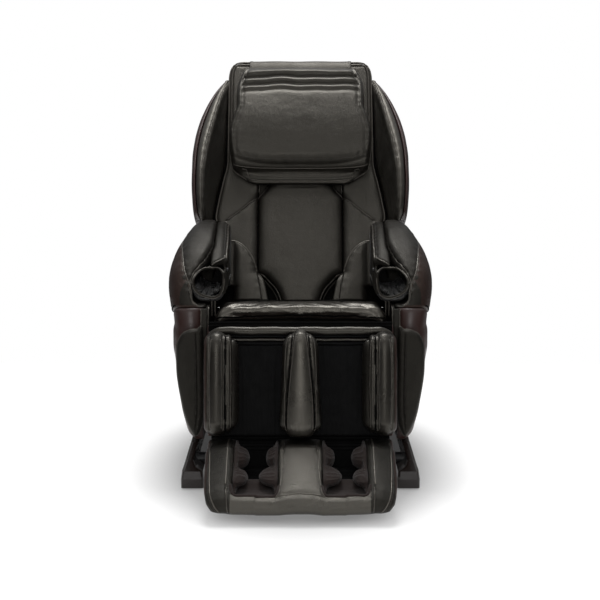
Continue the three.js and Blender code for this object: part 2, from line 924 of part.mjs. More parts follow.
// Upholstery of the back: a centre pad and two side bolsters, and the rear cover
{
  const half = [
    // z, half width of the centre pad
    [24, 50],
    [60, 78],
    [110, 124],
    [130, 129],
    [390, 127],
    [430, 100],
    [480, 80],
    [640, 80],
    [770, 80],
  ];
  const zs = [24, 60, 90, 115, 130, 260, 385, 420, 460, 600, 700, 800];
  const ring = (z, w) =>
    [
      [-w, 8],
      [-w + 8, -1],
      [0, -3],
      [w - 8, -1],
      [w, 8],
      [w, 44],
      [-w, 44],
    ].map(([x, y]) => [x, y, z]);
  part("back_center_pad", loft(zs.map((z) => ring(z, table(half, z)))), "leather", "back");
  const outerHalf = [
    [16, 203],
    [56, 203],
    [72, 232],
    [110, 253],
    [262, 256],
    [290, 264],
    [340, 258],
    [480, 229],
    [740, 228],
    [780, 219],
    [800, 200],
  ];
  const bz = [16, 40, 56, 72, 90, 110, 130, 225, 262, 290, 340, 385, 420, 460, 600, 740, 776, 786, 800];
  const bring = (z) => {
    const i = table(half, z) + GAP,
      o = table(outerHalf, z),
      fi = Math.min(196, o - 8),
      rear = z < 780 ? 84 : 46.5; // the flange stops under the rear cover's top
    return [
      [i, 10],
      [i + 6, -4],
      [(i + o) / 2, -14],
      [o - 12, -12],
      [o, 4],
      [o, rear - 24],
      [o - 4, rear],
      [fi, rear],
      [fi - 1, 46],
      [i, 46],
    ].map(([x, y]) => [x, y, z]);
  };
  const bol = cut(
    loft(bz.map(bring)),
    rod("x", 287, HB, 258, 400, 48), // outside the circle that the arms' rear ends fill
  );
  pair("back_bolster", bol, "leather", "back");

  // Rear cover: a moulded shell around the mechanism, narrow between the arms
  const rw = [
    [52, 203, 168],
    [72, 230, 170],
    [110, 252, 172],
    [285, 255, 180],
    [304, 268, 180],
    [336, 286, 180],
    [450, 290, 180],
    [600, 284, 174],
    [700, 262, 164],
    [760, 236, 152],
    [795, 205, 138],
    [812, 160, 124],
  ];
  const shellRing = (z, inset, front) => {
    const w = table(rw, z, 1) - inset,
      d = table(rw, z, 2) - inset;
    const out = [];
    const n = 12;
    for (let i = 0; i <= n; i++) {
      const a = (Math.PI * i) / n;
      const c = Math.cos(a),
        s = Math.sin(a);
      out.push([
        w * Math.sign(c) * Math.pow(Math.abs(c), z < 290 ? 0.2 : 0.5),
        front + (d - front) * Math.pow(Math.max(s, 0), z < 290 ? 0.45 : 0.6),
        z,
      ]);
    }
    return out;
  };
  const zr = rw.map((r) => r[0]);
  // the top comes forward over the pads
  const outer = loft(
    [...zr.slice(0, -2), 786, 787.5, ...zr.slice(-2)].map((z) => shellRing(z, 0, z < 787 ? 90 : 48)),
  );
  const inner = loft([40, ...zr.slice(1, -1), 806].map((z) => shellRing(z, 5, 60)));
  let rear = cut(outer, inner);
  // clear of the frame, of the hinge and of the bolsters
  rear = cut(rear, block(-300, 20, 0, 300, 90.4, 786.5));
  part("rear_cover", rear, "brown_shell", "back");
}
// Side wings: a padded crescent in a plastic shell
{
  const WZ = [
    // z, inner x, crest x, outer x, crest y, rear y
    [262, 276, 292, 312, -62, 20],
    [285, 272, 296, 328, -88, 60],
    [330, 266, 300, 334, -108, 80],
    [400, 252, 300, 338, -112, 80],
    [470, 238, 296, 338, -100, 80],
    [540, 236, 286, 332, -84, 80],
    [600, 235, 274, 320, -66, 80],
    [660, 234, 262, 300, -46, 78],
    [710, 233, 250, 276, -26, 70],
    [740, 232, 243, 258, -10, 60],
  ];
  const pad = WZ.map(([z, i, c, o, cy, ry]) =>
    [
      [i, ry],
      [i, cy * 0.15],
      [lerp(i, c, 0.55), cy * 0.75],
      [c, cy],
      [lerp(c, o, 0.5), cy * 0.93],
      [o - 8, cy * 0.62],
      [o - 6.5, 0],
      [o - 9, ry],
    ].map(([x, y]) => [x, y, z]),
  );
  const shell = WZ.map(([z, i, c, o, cy, ry]) =>
    [
      [o - 7 + GAP, cy * 0.6],
      [o - 2, cy * 0.55],
      [o, 0],
      [o - 2, ry * 0.7],
      [o - 8, ry + 6],
      [i + 2, ry + 8],
      [i + 2, ry + 1.2],
      [o - 8, ry + 1.2],
      [o - 6 + GAP, 0],
    ].map(([x, y]) => [x, y, z]),
  );
  // keep the lower ends outside the circle that the arms' rear ends fill
  const clear = rod("x", 287, HB, 240, 400, 48);
  pair("wing_pad", cut(loft(pad), clear), "leather", "back");
  pair("wing_shell", cut(loft(shell), clear), "brown_shell", "back");
}
// Head pillow, hung from the top of the back
const PILLOW_AXIS = [-22, 806];
{
  const P = [
    // z, half width, thickness
    [394, 150, 30],
    [402, 196, 44],
    [425, 214, 58],
    [480, 221, 70],
    [560, 214, 78],
    [660, 198, 76],
    [740, 186, 62],
    [775, 181, 46],
    [796, 176, 30],
  ];
  const rings = P.map(([z, w, t]) =>
    [
      [-w, -19],
      [-w, -19 - t * 0.45],
      [-w * 0.9, -19 - t * 0.9],
      [0, -19 - t],
      [w * 0.9, -19 - t * 0.9],
      [w, -19 - t * 0.45],
      [w, -19],
    ].map(([x, y]) => [x, y, z]),
  );
  part("head_pillow", loft(rings), "leather", "back");
}

// ================================================================ leg rest (in its own frame)
// local y runs rearwards, local z up; the hinge axis is at y 0, z 0
{
  // Moulded tray behind the pads; slots at the top clear the seat frame's arms
  const tray = alongX(
    smooth(
      [
        [-38, 34],
        [-10, 44],
        [22, 38],
        [40, 14],
        [42, -30],
        [36, -150],
        [24, -236],
        [4, -256],
        [-38, -258],
        [-40, -150],
        [-40, -30],
      ],
      30,
      0.25,
    ),
    -252,
    252,
    4,
  );
  const slot = [
    [-27, -30],
    [10, -32],
    [60, -84],
    [60, 70],
    [-27, 70],
  ];
  let t = cut(
    tray,
    // hollow from the front, open at the bottom for the foot box's slides
    alongX(
      [
        [-60, 26],
        [-12, 26],
        [6, 10],
        [26, -30],
        [22, -150],
        [10, -240],
        [6, -300],
        [-60, -300],
      ],
      -228,
      228,
    ),
    alongX(slot, 229, 260),
    alongX(slot, -260, -229),
    rod("x", HOLE_R, [0, 0], -300, 300),
  );
  // hubs on the pin, and guide tubes for the slides
  const hub = (x0, x1) =>
    join(
      rod("x", 15, [0, 0], x0, x1, 16),
      block(x0, 4, -30, x1, 30, 10),
    );
  let inside = join(
    hub(196, 228.5),
    hub(-228.5, -196),
    alongZ(rrect(194, -12, 218, 12, 4, 2), -240, -70),
    alongZ(rrect(-218, -12, -194, 12, 4, 2), -240, -70),
    block(194, 4, -240, 218, 30, -226),
    block(-218, 4, -240, -194, 30, -226),
    block(194, 0, -90, 229, 32, -70),
    block(-229, 0, -90, -194, 32, -70),
  );
  inside = cut(
    inside,
    alongZ(rrect(198, -8, 214, 8, 3, 2), -260, -60),
    alongZ(rrect(-214, -8, -198, 8, 3, 2), -260, -60),
    rod("x", HOLE_R, [0, 0], -300, 300),
    block(-260, 60, -400, 260, 30, 100),
  );
  t = join(t, inside.intersect(block(-230, -40, -262, 230, 34, 60)));
  part("calf_shell", t, "brown_shell", "leg");

  // channel lining between the pads
  let lining = join(
    block(-228, -56, -256, 228, -46, 20),
    block(-228, -60, 10, 228, -40.6, 26),
  );
  part("calf_lining", lining, "lining", "leg");
  const sidePad = alongX(
    smooth(
      [
        [-41, 30],
        [-80, 32],
        [-108, 16],
        [-116, -20],
        [-117, -130],
        [-115, -228],
        [-104, -252],
        [-80, -258],
        [-41, -257],
      ],
      24,
      0.3,
    ),
    163,
    257,
    14,
  );
  // outer part in front of the tray, inner part over the lining
  const pad = cut(sidePad, block(150, -60, -300, 229, 0, 60), block(229, -40.6, -300, 300, 100, 60));
  pair("calf_pad", pad, "leather", "leg");
  const mid = alongX(
    smooth(
      [
        [-60.6, 28],
        [-90, 30],
        [-110, 16],
        [-116, -20],
        [-117, -130],
        [-115, -228],
        [-104, -252],
        [-80, -258],
        [-60.6, -257],
      ],
      24,
      0.3,
    ),
    -52,
    52,
    12,
  );
  part("center_calf_pad", mid, "leather", "leg");
}

// ================================================================ foot box (chair frame)
{
  const outline = smooth(
    [
      [-345, 156],
      [-400, 159],
      [-468, 166],
      [-540, 124],
      [-615, 84],
      [-640, 60],
      [-642, 36],
      [-628, 24],
      [-400, 30],
      [-356, 44],
      [-340, 90],
    ],
    44,
    0.25,
  );
  const body = alongX(outline, -250, 250, 12);
  // a foot well: heel at the rear, toes at the front, sole plate below
  const well = (x0, x1) =>
    alongX(
      [
        [-366, 260],
        [-366, 64],
        [-604, 60],
        [-617, 74],
        [-617, 260],
      ],
      x0,
      x1,
    );
  let up = cut(body, well(58, 176), well(-176, -58));
  // the tray that carries it is let into its underside
  up = cut(up, block(-236, -600, 0, 236, -372, 40), block(-236, -384, 0, 236, -320, 57));
  up = cut(up, alongX([[-361, 20], [-361, 300], [-300, 300], [-300, 20]], -260, 260));
  // pockets for the foot rollers, open into the wells
  up = cut(up, alongX([[-540, 36], [-540, 75], [-470, 75], [-470, 36]], -173, -61), alongX([[-540, 36], [-540, 75], [-470, 75], [-470, 36]], 61, 173));
  part("foot_upholstery", up, "leather");

  // tray, heel plate and the two slides in one frame
  const slide = (x0, x1) =>
    solid(
      new THREE.BoxGeometry(x1 - x0, 13, 210),
      legMatrix.clone().multiply(M().makeTranslation((x0 + x1) / 2, 0, -180)),
    );
  let tray = join(
    alongX(
      [
        [-598, 33],
        [-374, 33],
        [-345, 50],
        [-345, 160],
        [-360, 160],
        [-360, 54],
        [-376, 39.4],
        [-598, 39.4],
      ],
      -235,
      235,
    ),
    slide(199.5, 212.5),
    slide(-212.5, -199.5),
    block(199.5, -360, 110, 212.5, -325, 150),
    block(-212.5, -360, 110, -199.5, -325, 150),
    // roller brackets
    ...[62.6, 168, -171.4, -66].map((x) => block(x, -513, 34, x + 3.4, -497, 66)),
  );
  tray = cut(tray, rod("x", 4.5, [-505, 57], -200, 200, 12));
  part("foot_tray", tray, "steel");

  // gathered air cushions on both walls of each well, joined under the heel
  const bag = (s) => {
    const side = (x0, x1) =>
      alongX(
        smooth(
          [
            [-375, 160],
            [-460, 160],
            [-530, 118],
            [-590, 80],
            [-600, 66],
            [-560, 66],
            [-400, 66],
            [-372, 70],
          ],
          22,
          0.25,
        ),
        x0,
        x1,
        5,
      );
    const m = join(side(59, 82), side(152, 175.4), block(60, -400, 66, 175, -372, 74));
    return s > 0 ? m : mirrorX(m);
  };
  part("left_foot_airbag", cut(bag(1), block(0, -545, 0, 300, -465, 76)), "gathered");
  part("right_foot_airbag", cut(bag(-1), block(-300, -545, 0, 0, -465, 76)), "gathered");

  // one shaft with a kneading roller under each sole
  const knob = (x) => {
    const g = new THREE.LatheGeometry(
      [
        [0, -22],
        [8, -22],
        [13, -18],
        [15, -10],
        [12, 0],
        [15, 10],
        [13, 18],
        [8, 22],
        [0, 22],
      ].map(V2),
      16,
    );
    g.rotateZ(Math.PI / 2).translate(x, -505, 57);
    return solid(g);
  };
  part("foot_roller_left", join(knob(117), rod("x", 4, [-505, 57], 62, 172, 12)), "roller");
  part("foot_roller_right", join(knob(-117), rod("x", 4, [-505, 57], -172, -62, 12)), "roller");

  // pleated cloth that closes the gap when the foot box slides out
  const cloth = solid(
    new THREE.BoxGeometry(356, 4, 142),
    legMatrix.clone().multiply(M().makeTranslation(0, -38, -190)),
  );
  part("foot_gaiter", cloth, "lining");
}

export default chair;
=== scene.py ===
"""A massage chair: its looks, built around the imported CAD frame.

Lengths in the tables are millimetres in the chair's own drawing frame (+X the sitter's left,
the sitter faces -Y, +Z up); a piece is turned into metres in the model's frame when it is made.
"""

import json
import math

import bpy
import numpy as np
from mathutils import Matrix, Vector
from mathutils.bvhtree import BVHTree

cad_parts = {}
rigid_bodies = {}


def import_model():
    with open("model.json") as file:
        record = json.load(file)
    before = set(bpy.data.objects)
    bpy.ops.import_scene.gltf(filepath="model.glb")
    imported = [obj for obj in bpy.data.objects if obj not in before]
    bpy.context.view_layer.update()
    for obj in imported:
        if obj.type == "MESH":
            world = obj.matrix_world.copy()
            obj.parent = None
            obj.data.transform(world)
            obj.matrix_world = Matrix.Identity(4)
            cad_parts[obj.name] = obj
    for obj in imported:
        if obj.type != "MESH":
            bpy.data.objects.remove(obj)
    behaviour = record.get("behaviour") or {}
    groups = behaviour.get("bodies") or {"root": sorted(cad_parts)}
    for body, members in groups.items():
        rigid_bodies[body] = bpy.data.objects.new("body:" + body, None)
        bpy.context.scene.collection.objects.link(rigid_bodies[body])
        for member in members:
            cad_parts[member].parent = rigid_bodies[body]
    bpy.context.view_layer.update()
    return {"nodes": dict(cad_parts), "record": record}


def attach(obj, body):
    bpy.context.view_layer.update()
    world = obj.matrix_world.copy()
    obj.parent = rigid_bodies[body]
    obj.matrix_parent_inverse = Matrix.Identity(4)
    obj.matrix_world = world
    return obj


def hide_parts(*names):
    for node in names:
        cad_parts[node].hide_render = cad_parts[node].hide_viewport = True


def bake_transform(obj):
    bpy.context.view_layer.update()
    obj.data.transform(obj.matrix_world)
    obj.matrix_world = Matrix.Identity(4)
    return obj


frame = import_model()
NODES = frame["nodes"]
SCENE = bpy.context.scene
for _o in list(SCENE.objects):
    if _o.type in ("LIGHT", "CAMERA"):
        bpy.data.objects.remove(_o)

YS = 17.77  # the drawing frame's shift along Y, mm
A = np.array

# ------------------------------------------------------------------ small maths


def pchip(xs, ys):
    """A smooth curve through a table that doesn't overshoot it."""
    xs, ys = A(xs, float), A(ys, float)
    h, d = np.diff(xs), np.diff(ys) / np.diff(xs)
    m = np.zeros(len(xs))
    m[0], m[-1] = d[0], d[-1]
    for i in range(1, len(xs) - 1):
        if d[i - 1] * d[i] > 0:
            a, b = 2 * h[i] + h[i - 1], h[i] + 2 * h[i - 1]
            m[i] = (a + b) / (a / d[i - 1] + b / d[i])

    def f(x):
        x = np.clip(np.asarray(x, float), xs[0], xs[-1])
        i = np.clip(np.searchsorted(xs, x) - 1, 0, len(h) - 1)
        t = (x - xs[i]) / h[i]
        return (
            (2 * t**3 - 3 * t**2 + 1) * ys[i]
            + (t**3 - 2 * t**2 + t) * h[i] * m[i]
            + (-2 * t**3 + 3 * t**2) * ys[i + 1]
            + (t**3 - t**2) * h[i] * m[i + 1]
        )

    return f


def cols(rows):
    """One smooth curve per column of a table whose first column is the key."""
    r = A(rows, float)
    return [pchip(r[:, 0], r[:, k]) for k in range(1, r.shape[1])]


def step(a, b, x):
    t = np.clip((np.asarray(x, float) - a) / (b - a), 0, 1)
    return t * t * (3 - 2 * t)


def smin(a, b, k):
    h = np.clip(0.5 + 0.5 * (b - a) / k, 0, 1)
    return b * (1 - h) + a * h - k * h * (1 - h)


def smax(a, b, k):
    return -smin(-a, -b, k)


def _hash(i, j, k, seed):
    n = (i * 73856093) ^ (j * 19349663) ^ (k * 83492791) ^ (seed * 2654435761)
    n = n & 0xFFFFFFFF
    n = ((n >> 13) ^ n) * 1274126177 & 0xFFFFFFFF
    n = ((n >> 15) ^ n) * 668265263 & 0xFFFFFFFF
    return ((n >> 8) & 0xFFFF) / 65535.0


def vnoise(P, size, seed=1):
    """Smooth noise from -1 to 1 with features about `size` long (a number or one per axis)."""
    q = np.asarray(P, float) / np.asarray(size, float) + 4096.0
    i = np.floor(q).astype(np.int64)
    f = q - i
    f = f * f * f * (f * (f * 6 - 15) + 10)
    out = 0
    for a in (0, 1):
        for b in (0, 1):
            for c in (0, 1):
                w = (
                    (f[:, 0] if a else 1 - f[:, 0])
                    * (f[:, 1] if b else 1 - f[:, 1])
                    * (f[:, 2] if c else 1 - f[:, 2])
                )
                out = out + w * _hash(i[:, 0] + a, i[:, 1] + b, i[:, 2] + c, seed)
    return out * 2 - 1


def fbm(P, size, seed=1, octaves=3):
    out, amp, s = 0, 1.0, np.asarray(size, float)
    for o in range(octaves):
        out = out + amp * vnoise(P, s, seed + 17 * o)
        amp, s = amp * 0.5, s * 0.5
    return out / 1.75


def curve(points, pitch=3.0, closed=False):
    """A smooth line through the points, cut into even steps."""
    p = A(points, float)
    if closed:
        p = np.concatenate([p[-1:], p, p[:2]])
    else:
        p = np.concatenate([2 * p[:1] - p[1:2], p, 2 * p[-1:] - p[-2:-1]])
    out = []
    for i in range(1, len(p) - 2):
        for t in np.linspace(0, 1, 16, endpoint=False):
            a, b, c, d = p[i - 1], p[i], p[i + 1], p[i + 2]
            out.append(
                0.5
                * (
                    2 * b
                    + (c - a) * t
                    + (2 * a - 5 * b + 4 * c - d) * t * t
                    + (3 * b - a - 3 * c + d) * t**3
                )
            )
    out.append(p[-2])
    out = A(out)
    s = np.concatenate([[0], np.cumsum(np.linalg.norm(np.diff(out, axis=0), axis=1))])
    n = max(2, int(round(s[-1] / pitch)))
    if closed:
        u = np.linspace(0, s[-1], n, endpoint=False)
    else:
        u = np.linspace(0, s[-1], n + 1)
    return np.stack([np.interp(u, s, out[:, k]) for k in range(out.shape[1])], 1)


def near(P, line, closed=False):
    """Distance from points to a line, and how far along it the nearest point is."""
    line = np.asarray(line, float)
    if closed:
        line = np.concatenate([line, line[:1]])
    best, along, run = np.full(len(P), 1e18), np.zeros(len(P)), 0.0
    for a, b in zip(line[:-1], line[1:]):
        e = b - a
        L2 = float(e @ e)
        if L2 < 1e-12:
            continue
        w = P - a
        t = np.clip(w @ e / L2, 0, 1)
        d = ((w - t[:, None] * e) ** 2).sum(1)
        L = math.sqrt(L2)
        hit = d < best
        best[hit], along[hit] = d[hit], run + t[hit] * L
        run += L
    return np.sqrt(best), along


def poly2(px, py, poly):
    """Signed distance to a polygon in a plane, below 0 inside. Works on open grids."""
    poly = A(poly, float)
    px, py = np.broadcast_arrays(np.asarray(px, float), np.asarray(py, float))
    d, s = np.full(px.shape, 1e18), np.zeros(px.shape, bool)
    for i in range(len(poly)):
        (ax, ay), (bx, by) = poly[i], poly[i - 1]
        ex, ey = bx - ax, by - ay
        wx, wy = px - ax, py - ay
        t = np.clip((wx * ex + wy * ey) / (ex * ex + ey * ey + 1e-12), 0, 1)
        d = np.minimum(d, (wx - ex * t) ** 2 + (wy - ey * t) ** 2)
        c1, c2, c3 = py >= ay, py < by, ex * wy > ey * wx
        s ^= (c1 & c2 & c3) | (~c1 & ~c2 & ~c3)
    d = np.sqrt(d)
    return np.where(s, -d, d)


def slab(x, a, b):
    return np.maximum(a - x, x - b)


# ------------------------------------------------------------------ meshes


def nets(f, lo, hi, h):
    """A quad mesh of the surface f = 0, f given on an open grid X, Y, Z and below 0 inside."""
    lo, hi = A(lo, float), A(hi, float)
    n = np.ceil((hi - lo) / h).astype(int) + 1
    ax = [lo[i] + h * np.arange(n[i]) for i in range(3)]
    F = f(ax[0][:, None, None], ax[1][None, :, None], ax[2][None, None, :])
    F = np.ascontiguousarray(np.broadcast_to(F, tuple(n)), float)
    ins = F < 0
    n = A(F.shape)
    s = 0
    for a in (0, 1):
        for b in (0, 1):
            for c in (0, 1):
                s = s + ins[a : n[0] - 1 + a, b : n[1] - 1 + b, c : n[2] - 1 + c].astype(np.int8)
    act = (s > 0) & (s < 8)
    idx = np.full(act.shape, -1, np.int64)
    idx[act] = np.arange(act.sum())
    ai = np.argwhere(act)
    acc, cnt = np.zeros((len(ai), 3)), np.zeros(len(ai))
    for k in range(3):
        o1, o2 = [i for i in range(3) if i != k]
        for u in (0, 1):
            for v in (0, 1):
                p = np.zeros(3, int)
                p[o1], p[o2] = u, v
                q = p.copy()
                q[k] = 1
                a, b = F[tuple((ai + p).T)], F[tuple((ai + q).T)]
                m = (a < 0) != (b < 0)
                pos = np.repeat(p[None].astype(float), m.sum(), 0)
                pos[:, k] += a[m] / (a[m] - b[m])
                acc[m] += pos
                cnt[m] += 1
    V = lo + h * (ai + acc / np.maximum(cnt, 1)[:, None])
    faces = []
    for k in range(3):
        o1, o2 = [i for i in range(3) if i != k]
        a = ins.take(range(0, n[k] - 1), k)
        b = ins.take(range(1, n[k]), k)
        g = np.argwhere(a != b)
        g = g[(g[:, o1] >= 1) & (g[:, o2] >= 1) & (g[:, o1] < n[o1] - 1) & (g[:, o2] < n[o2] - 1)]
        e1, e2 = np.zeros(3, int), np.zeros(3, int)
        e1[o1], e2[o2] = 1, 1
        q = np.stack(
            [idx[tuple((g - e1 - e2).T)], idx[tuple((g - e2).T)], idx[tuple(g.T)], idx[tuple((g - e1).T)]], 1
        )
        first = a[tuple(g.T)]
        flip = first if k == 1 else ~first
        q[flip] = q[flip][:, ::-1]
        faces.append(q)
    return V, np.concatenate(faces)


def normals(V, F):
    N = np.zeros_like(V)
    for q in [F] if isinstance(F, np.ndarray) else F:
        c = np.cross(V[q[:, 2]] - V[q[:, 0]], V[q[:, -1]] - V[q[:, 1]])
        for i in range(q.shape[1]):
            for k in range(3):
                N[:, k] += np.bincount(q[:, i], c[:, k], len(V))
    return N / (np.linalg.norm(N, axis=1, keepdims=True) + 1e-12)


def relax(V, F, times=3, lam=0.5, mu=0.0, keep=None):
    """Even out a mesh; with mu below 0 it doesn't shrink. keep holds points back, 1 fully."""
    E = np.concatenate([np.stack([F[:, i], F[:, (i + 1) % F.shape[1]]], 1) for i in range(F.shape[1])])
    E.sort(1)
    E = np.unique(E, axis=0)
    n = len(V)
    deg = np.bincount(E.ravel(), minlength=n)[:, None]
    hold = (deg > 0) * (1.0 if keep is None else (1 - keep)[:, None])
    deg = np.maximum(deg, 1)
    for _ in range(times):
        for w in (lam, mu) if mu else (lam,):
            M = np.stack(
                [np.bincount(E[:, 0], V[E[:, 1], c], n) + np.bincount(E[:, 1], V[E[:, 0], c], n) for c in range(3)], 1
            )
            V = V + w * hold * (M / deg - V)
    return V


def rings(R, cap0=True, cap1=True):
    """A skin over closed rings of equal length, R[ring, point, xyz], with flat fans at the ends."""
    R = np.asarray(R, float)
    m, n = R.shape[:2]
    V = R.reshape(-1, 3)
    i = np.arange(n)
    j = (i + 1) % n
    Q = np.concatenate([np.stack([r * n + i, r * n + j, (r + 1) * n + j, (r + 1) * n + i], 1) for r in range(m - 1)])
    T = []
    if cap0:
        V = np.concatenate([V, R[0].mean(0)[None]])
        T.append(np.stack([j, i, np.full(n, len(V) - 1)], 1))
    if cap1:
        V = np.concatenate([V, R[-1].mean(0)[None]])
        T.append(np.stack([(m - 1) * n + i, (m - 1) * n + j, np.full(n, len(V) - 1)], 1))
    return V, Q, (np.concatenate(T) if T else np.zeros((0, 3), int))


def outward(V, Q, T=None):
    """Turns faces so that they look outwards, judged by the volume."""
    vol = np.einsum("ij,ij->i", V[Q[:, 0]], np.cross(V[Q[:, 1]], V[Q[:, 2]])).sum()
    if Q.shape[1] == 4:
        vol += np.einsum("ij,ij->i", V[Q[:, 0]], np.cross(V[Q[:, 2]], V[Q[:, 3]])).sum()
    if T is not None and len(T):
        vol += np.einsum("ij,ij->i", V[T[:, 0]], np.cross(V[T[:, 1]], V[T[:, 2]])).sum()
    if vol < 0:
        Q = Q[:, ::-1]
        T = T[:, ::-1] if T is not None else None
    return Q, T


def tube(line, r, seg=8, closed=False, squeeze=None):
    """A round cord along a line. r is a number or one per point."""
    P = np.asarray(line, float)
    n = len(P)
    T = np.roll(P, -1, 0) - np.roll(P, 1, 0) if closed else np.gradient(P, axis=0)
    T /= np.linalg.norm(T, axis=1, keepdims=True) + 1e-12
    u = np.cross(T[0], [0.3, 0.5, 0.81])
    u /= np.linalg.norm(u)
    U = []
    for t in T:
        u = u - t * (u @ t)
        u /= np.linalg.norm(u)
        U.append(u)
    U = A(U)
    W = np.cross(T, U)
    r = np.broadcast_to(np.asarray(r, float), (n,))
    a = np.linspace(0, 2 * np.pi, seg, endpoint=False)
    R = P[:, None] + r[:, None, None] * (
        np.cos(a)[None, :, None] * U[:, None] + np.sin(a)[None, :, None] * W[:, None]
    )
    if closed:
        V = R.reshape(-1, 3)
        i = np.arange(seg)
        j = (i + 1) % seg
        Q = np.concatenate(
            [np.stack([k * seg + i, k * seg + j, (k + 1) % n * seg + j, (k + 1) % n * seg + i], 1) for k in range(n)]
        )
        return V, Q, np.zeros((0, 3), int)
    return rings(R)


class Piece:
    """Collects skins in millimetres and makes one object of them in the row frame."""

    def __init__(self):
        self.v, self.q, self.t, self.qm, self.tm, self.n = [], [], [], [], [], 0

    def add(self, V, Q, T=None, mat=0):
        self.v.append(V)
        self.q.append(Q + self.n)
        self.qm.append(np.full(len(Q), mat))
        if T is not None and len(T):
            self.t.append(T + self.n)
            self.tm.append(np.full(len(T), mat))
        self.n += len(V)
        return self

    def mirrored(self):
        m = Piece()
        m.v = [v * A([-1, 1, 1]) for v in self.v]
        m.q, m.t = [q[:, ::-1] for q in self.q], [t[:, ::-1] for t in self.t]
        m.qm, m.tm, m.n = list(self.qm), list(self.tm), self.n
        return m

    def map(self, f):
        self.v = [f(v) for v in self.v]
        return self

    def make(self, name, mats, body=None, replaces=(), slot=None, fill=None, stage=False):
        V = np.concatenate(self.v) / 1000.0
        V[:, 1] += YS / 1000.0
        Q = np.concatenate(self.q) if self.q else np.zeros((0, 4), int)
        T = np.concatenate(self.t) if self.t else np.zeros((0, 3), int)
        me = bpy.data.meshes.new(name)
        me.vertices.add(len(V))
        me.vertices.foreach_set("co", V.astype(np.float32).ravel())
        me.loops.add(Q.size + T.size)
        me.loops.foreach_set("vertex_index", np.concatenate([Q.ravel(), T.ravel()]).astype(np.int32))
        me.polygons.add(len(Q) + len(T))
        start = np.concatenate([np.arange(len(Q)) * 4, Q.size + np.arange(len(T)) * 3])
        me.polygons.foreach_set("loop_start", start.astype(np.int32))
        me.polygons.foreach_set(
            "material_index", np.concatenate([*self.qm, *self.tm, np.zeros(0)]).astype(np.int32)
        )
        me.polygons.foreach_set("use_smooth", np.ones(len(start), bool))
        me.update(calc_edges=True)
        me.validate()
        ob = bpy.data.objects.new(name, me)
        SCENE.collection.objects.link(ob)
        for m in mats if isinstance(mats, (list, tuple)) else [mats]:
            me.materials.append(m)
        if stage:
            return ob
        if replaces:
            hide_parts(*replaces)
        if body:
            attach(ob, body)
        return ob


class Skin:
    """Finds the nearest point of a mesh and its normal, to lay seams and stitches on it."""

    def __init__(self, V, Q):
        self.tree = BVHTree.FromPolygons(V.tolist(), Q.tolist())

    def lay(self, line, off=0.0):
        P, N = [], []
        for p in line:
            q, n, _, _ = self.tree.find_nearest(Vector(p))
            P.append(q + n * off)
            N.append(n)
        P, N = A([list(p) for p in P]), A([list(n) for n in N])
        for _ in range(2):
            N[1:-1] = (N[:-2] + N[1:-1] + N[2:]) / 3
        return P, N / np.linalg.norm(N, axis=1, keepdims=True)


def stitches(line, N, pitch=5.5, length=3.8, r=0.55, side=0.0):
    """Short raised threads along a line that lies on a surface; side moves the row sideways."""
    line = np.asarray(line, float)
    T = np.gradient(line, axis=0)
    T /= np.linalg.norm(T, axis=1, keepdims=True) + 1e-12
    B = np.cross(N, T)
    if side:
        line = line + B * side
    s = np.concatenate([[0], np.cumsum(np.linalg.norm(np.diff(line, axis=0), axis=1))])
    mids = np.arange(pitch / 2, s[-1], pitch)
    if not len(mids):
        return np.zeros((0, 3)), np.zeros((0, 4), int), np.zeros((0, 3), int)

    def at(arr, u):
        return np.stack([np.interp(u, s, arr[:, k]) for k in range(3)], 1)

    seg, V = 5, []
    ang = np.linspace(0, 2 * np.pi, seg, endpoint=False)
    for du, lift, rr in ((-0.5, -0.35, 0.55), (-0.28, 0.25, 1.0), (0.28, 0.25, 1.0), (0.5, -0.35, 0.55)):
        u = mids + du * length
        c, n, b = at(line, u), at(N, u), at(B, u)
        c = c + n * (lift * r)
        V.append(c[:, None] + r * rr * (np.cos(ang)[None, :, None] * b[:, None] + np.sin(ang)[None, :, None] * n[:, None]))
    V = np.stack(V, 1).reshape(-1, 3)
    i = np.arange(seg)
    j = (i + 1) % seg
    base = np.arange(len(mids))[:, None, None] * 4 * seg
    q = np.concatenate([np.stack([k * seg + i, k * seg + j, (k + 1) * seg + j, (k + 1) * seg + i], 1) for k in range(3)])
    Q = (q[None] + base).reshape(-1, 4)
    return V, Q, np.zeros((0, 3), int)


# frames turned with the backrest and the leg rest
C27, S27 = math.cos(math.radians(27)), math.sin(math.radians(27))
CL, SL = math.cos(math.radians(10.14)), math.sin(math.radians(10.14))


def back(P):
    """Backrest frame (x, rearwards, up the back) to the drawing frame."""
    P = np.asarray(P, float)
    x, y, s = P[..., 0], P[..., 1], P[..., 2]
    return np.stack([x, 123 + y * C27 + s * S27, 446 - y * S27 + s * C27], -1)


def leg(P):
    P = np.asarray(P, float)
    x, y, z = P[..., 0], P[..., 1], P[..., 2]
    return np.stack([x, -300 + y * CL + z * SL, 420 - y * SL + z * CL], -1)


# ------------------------------------------------------------------ materials


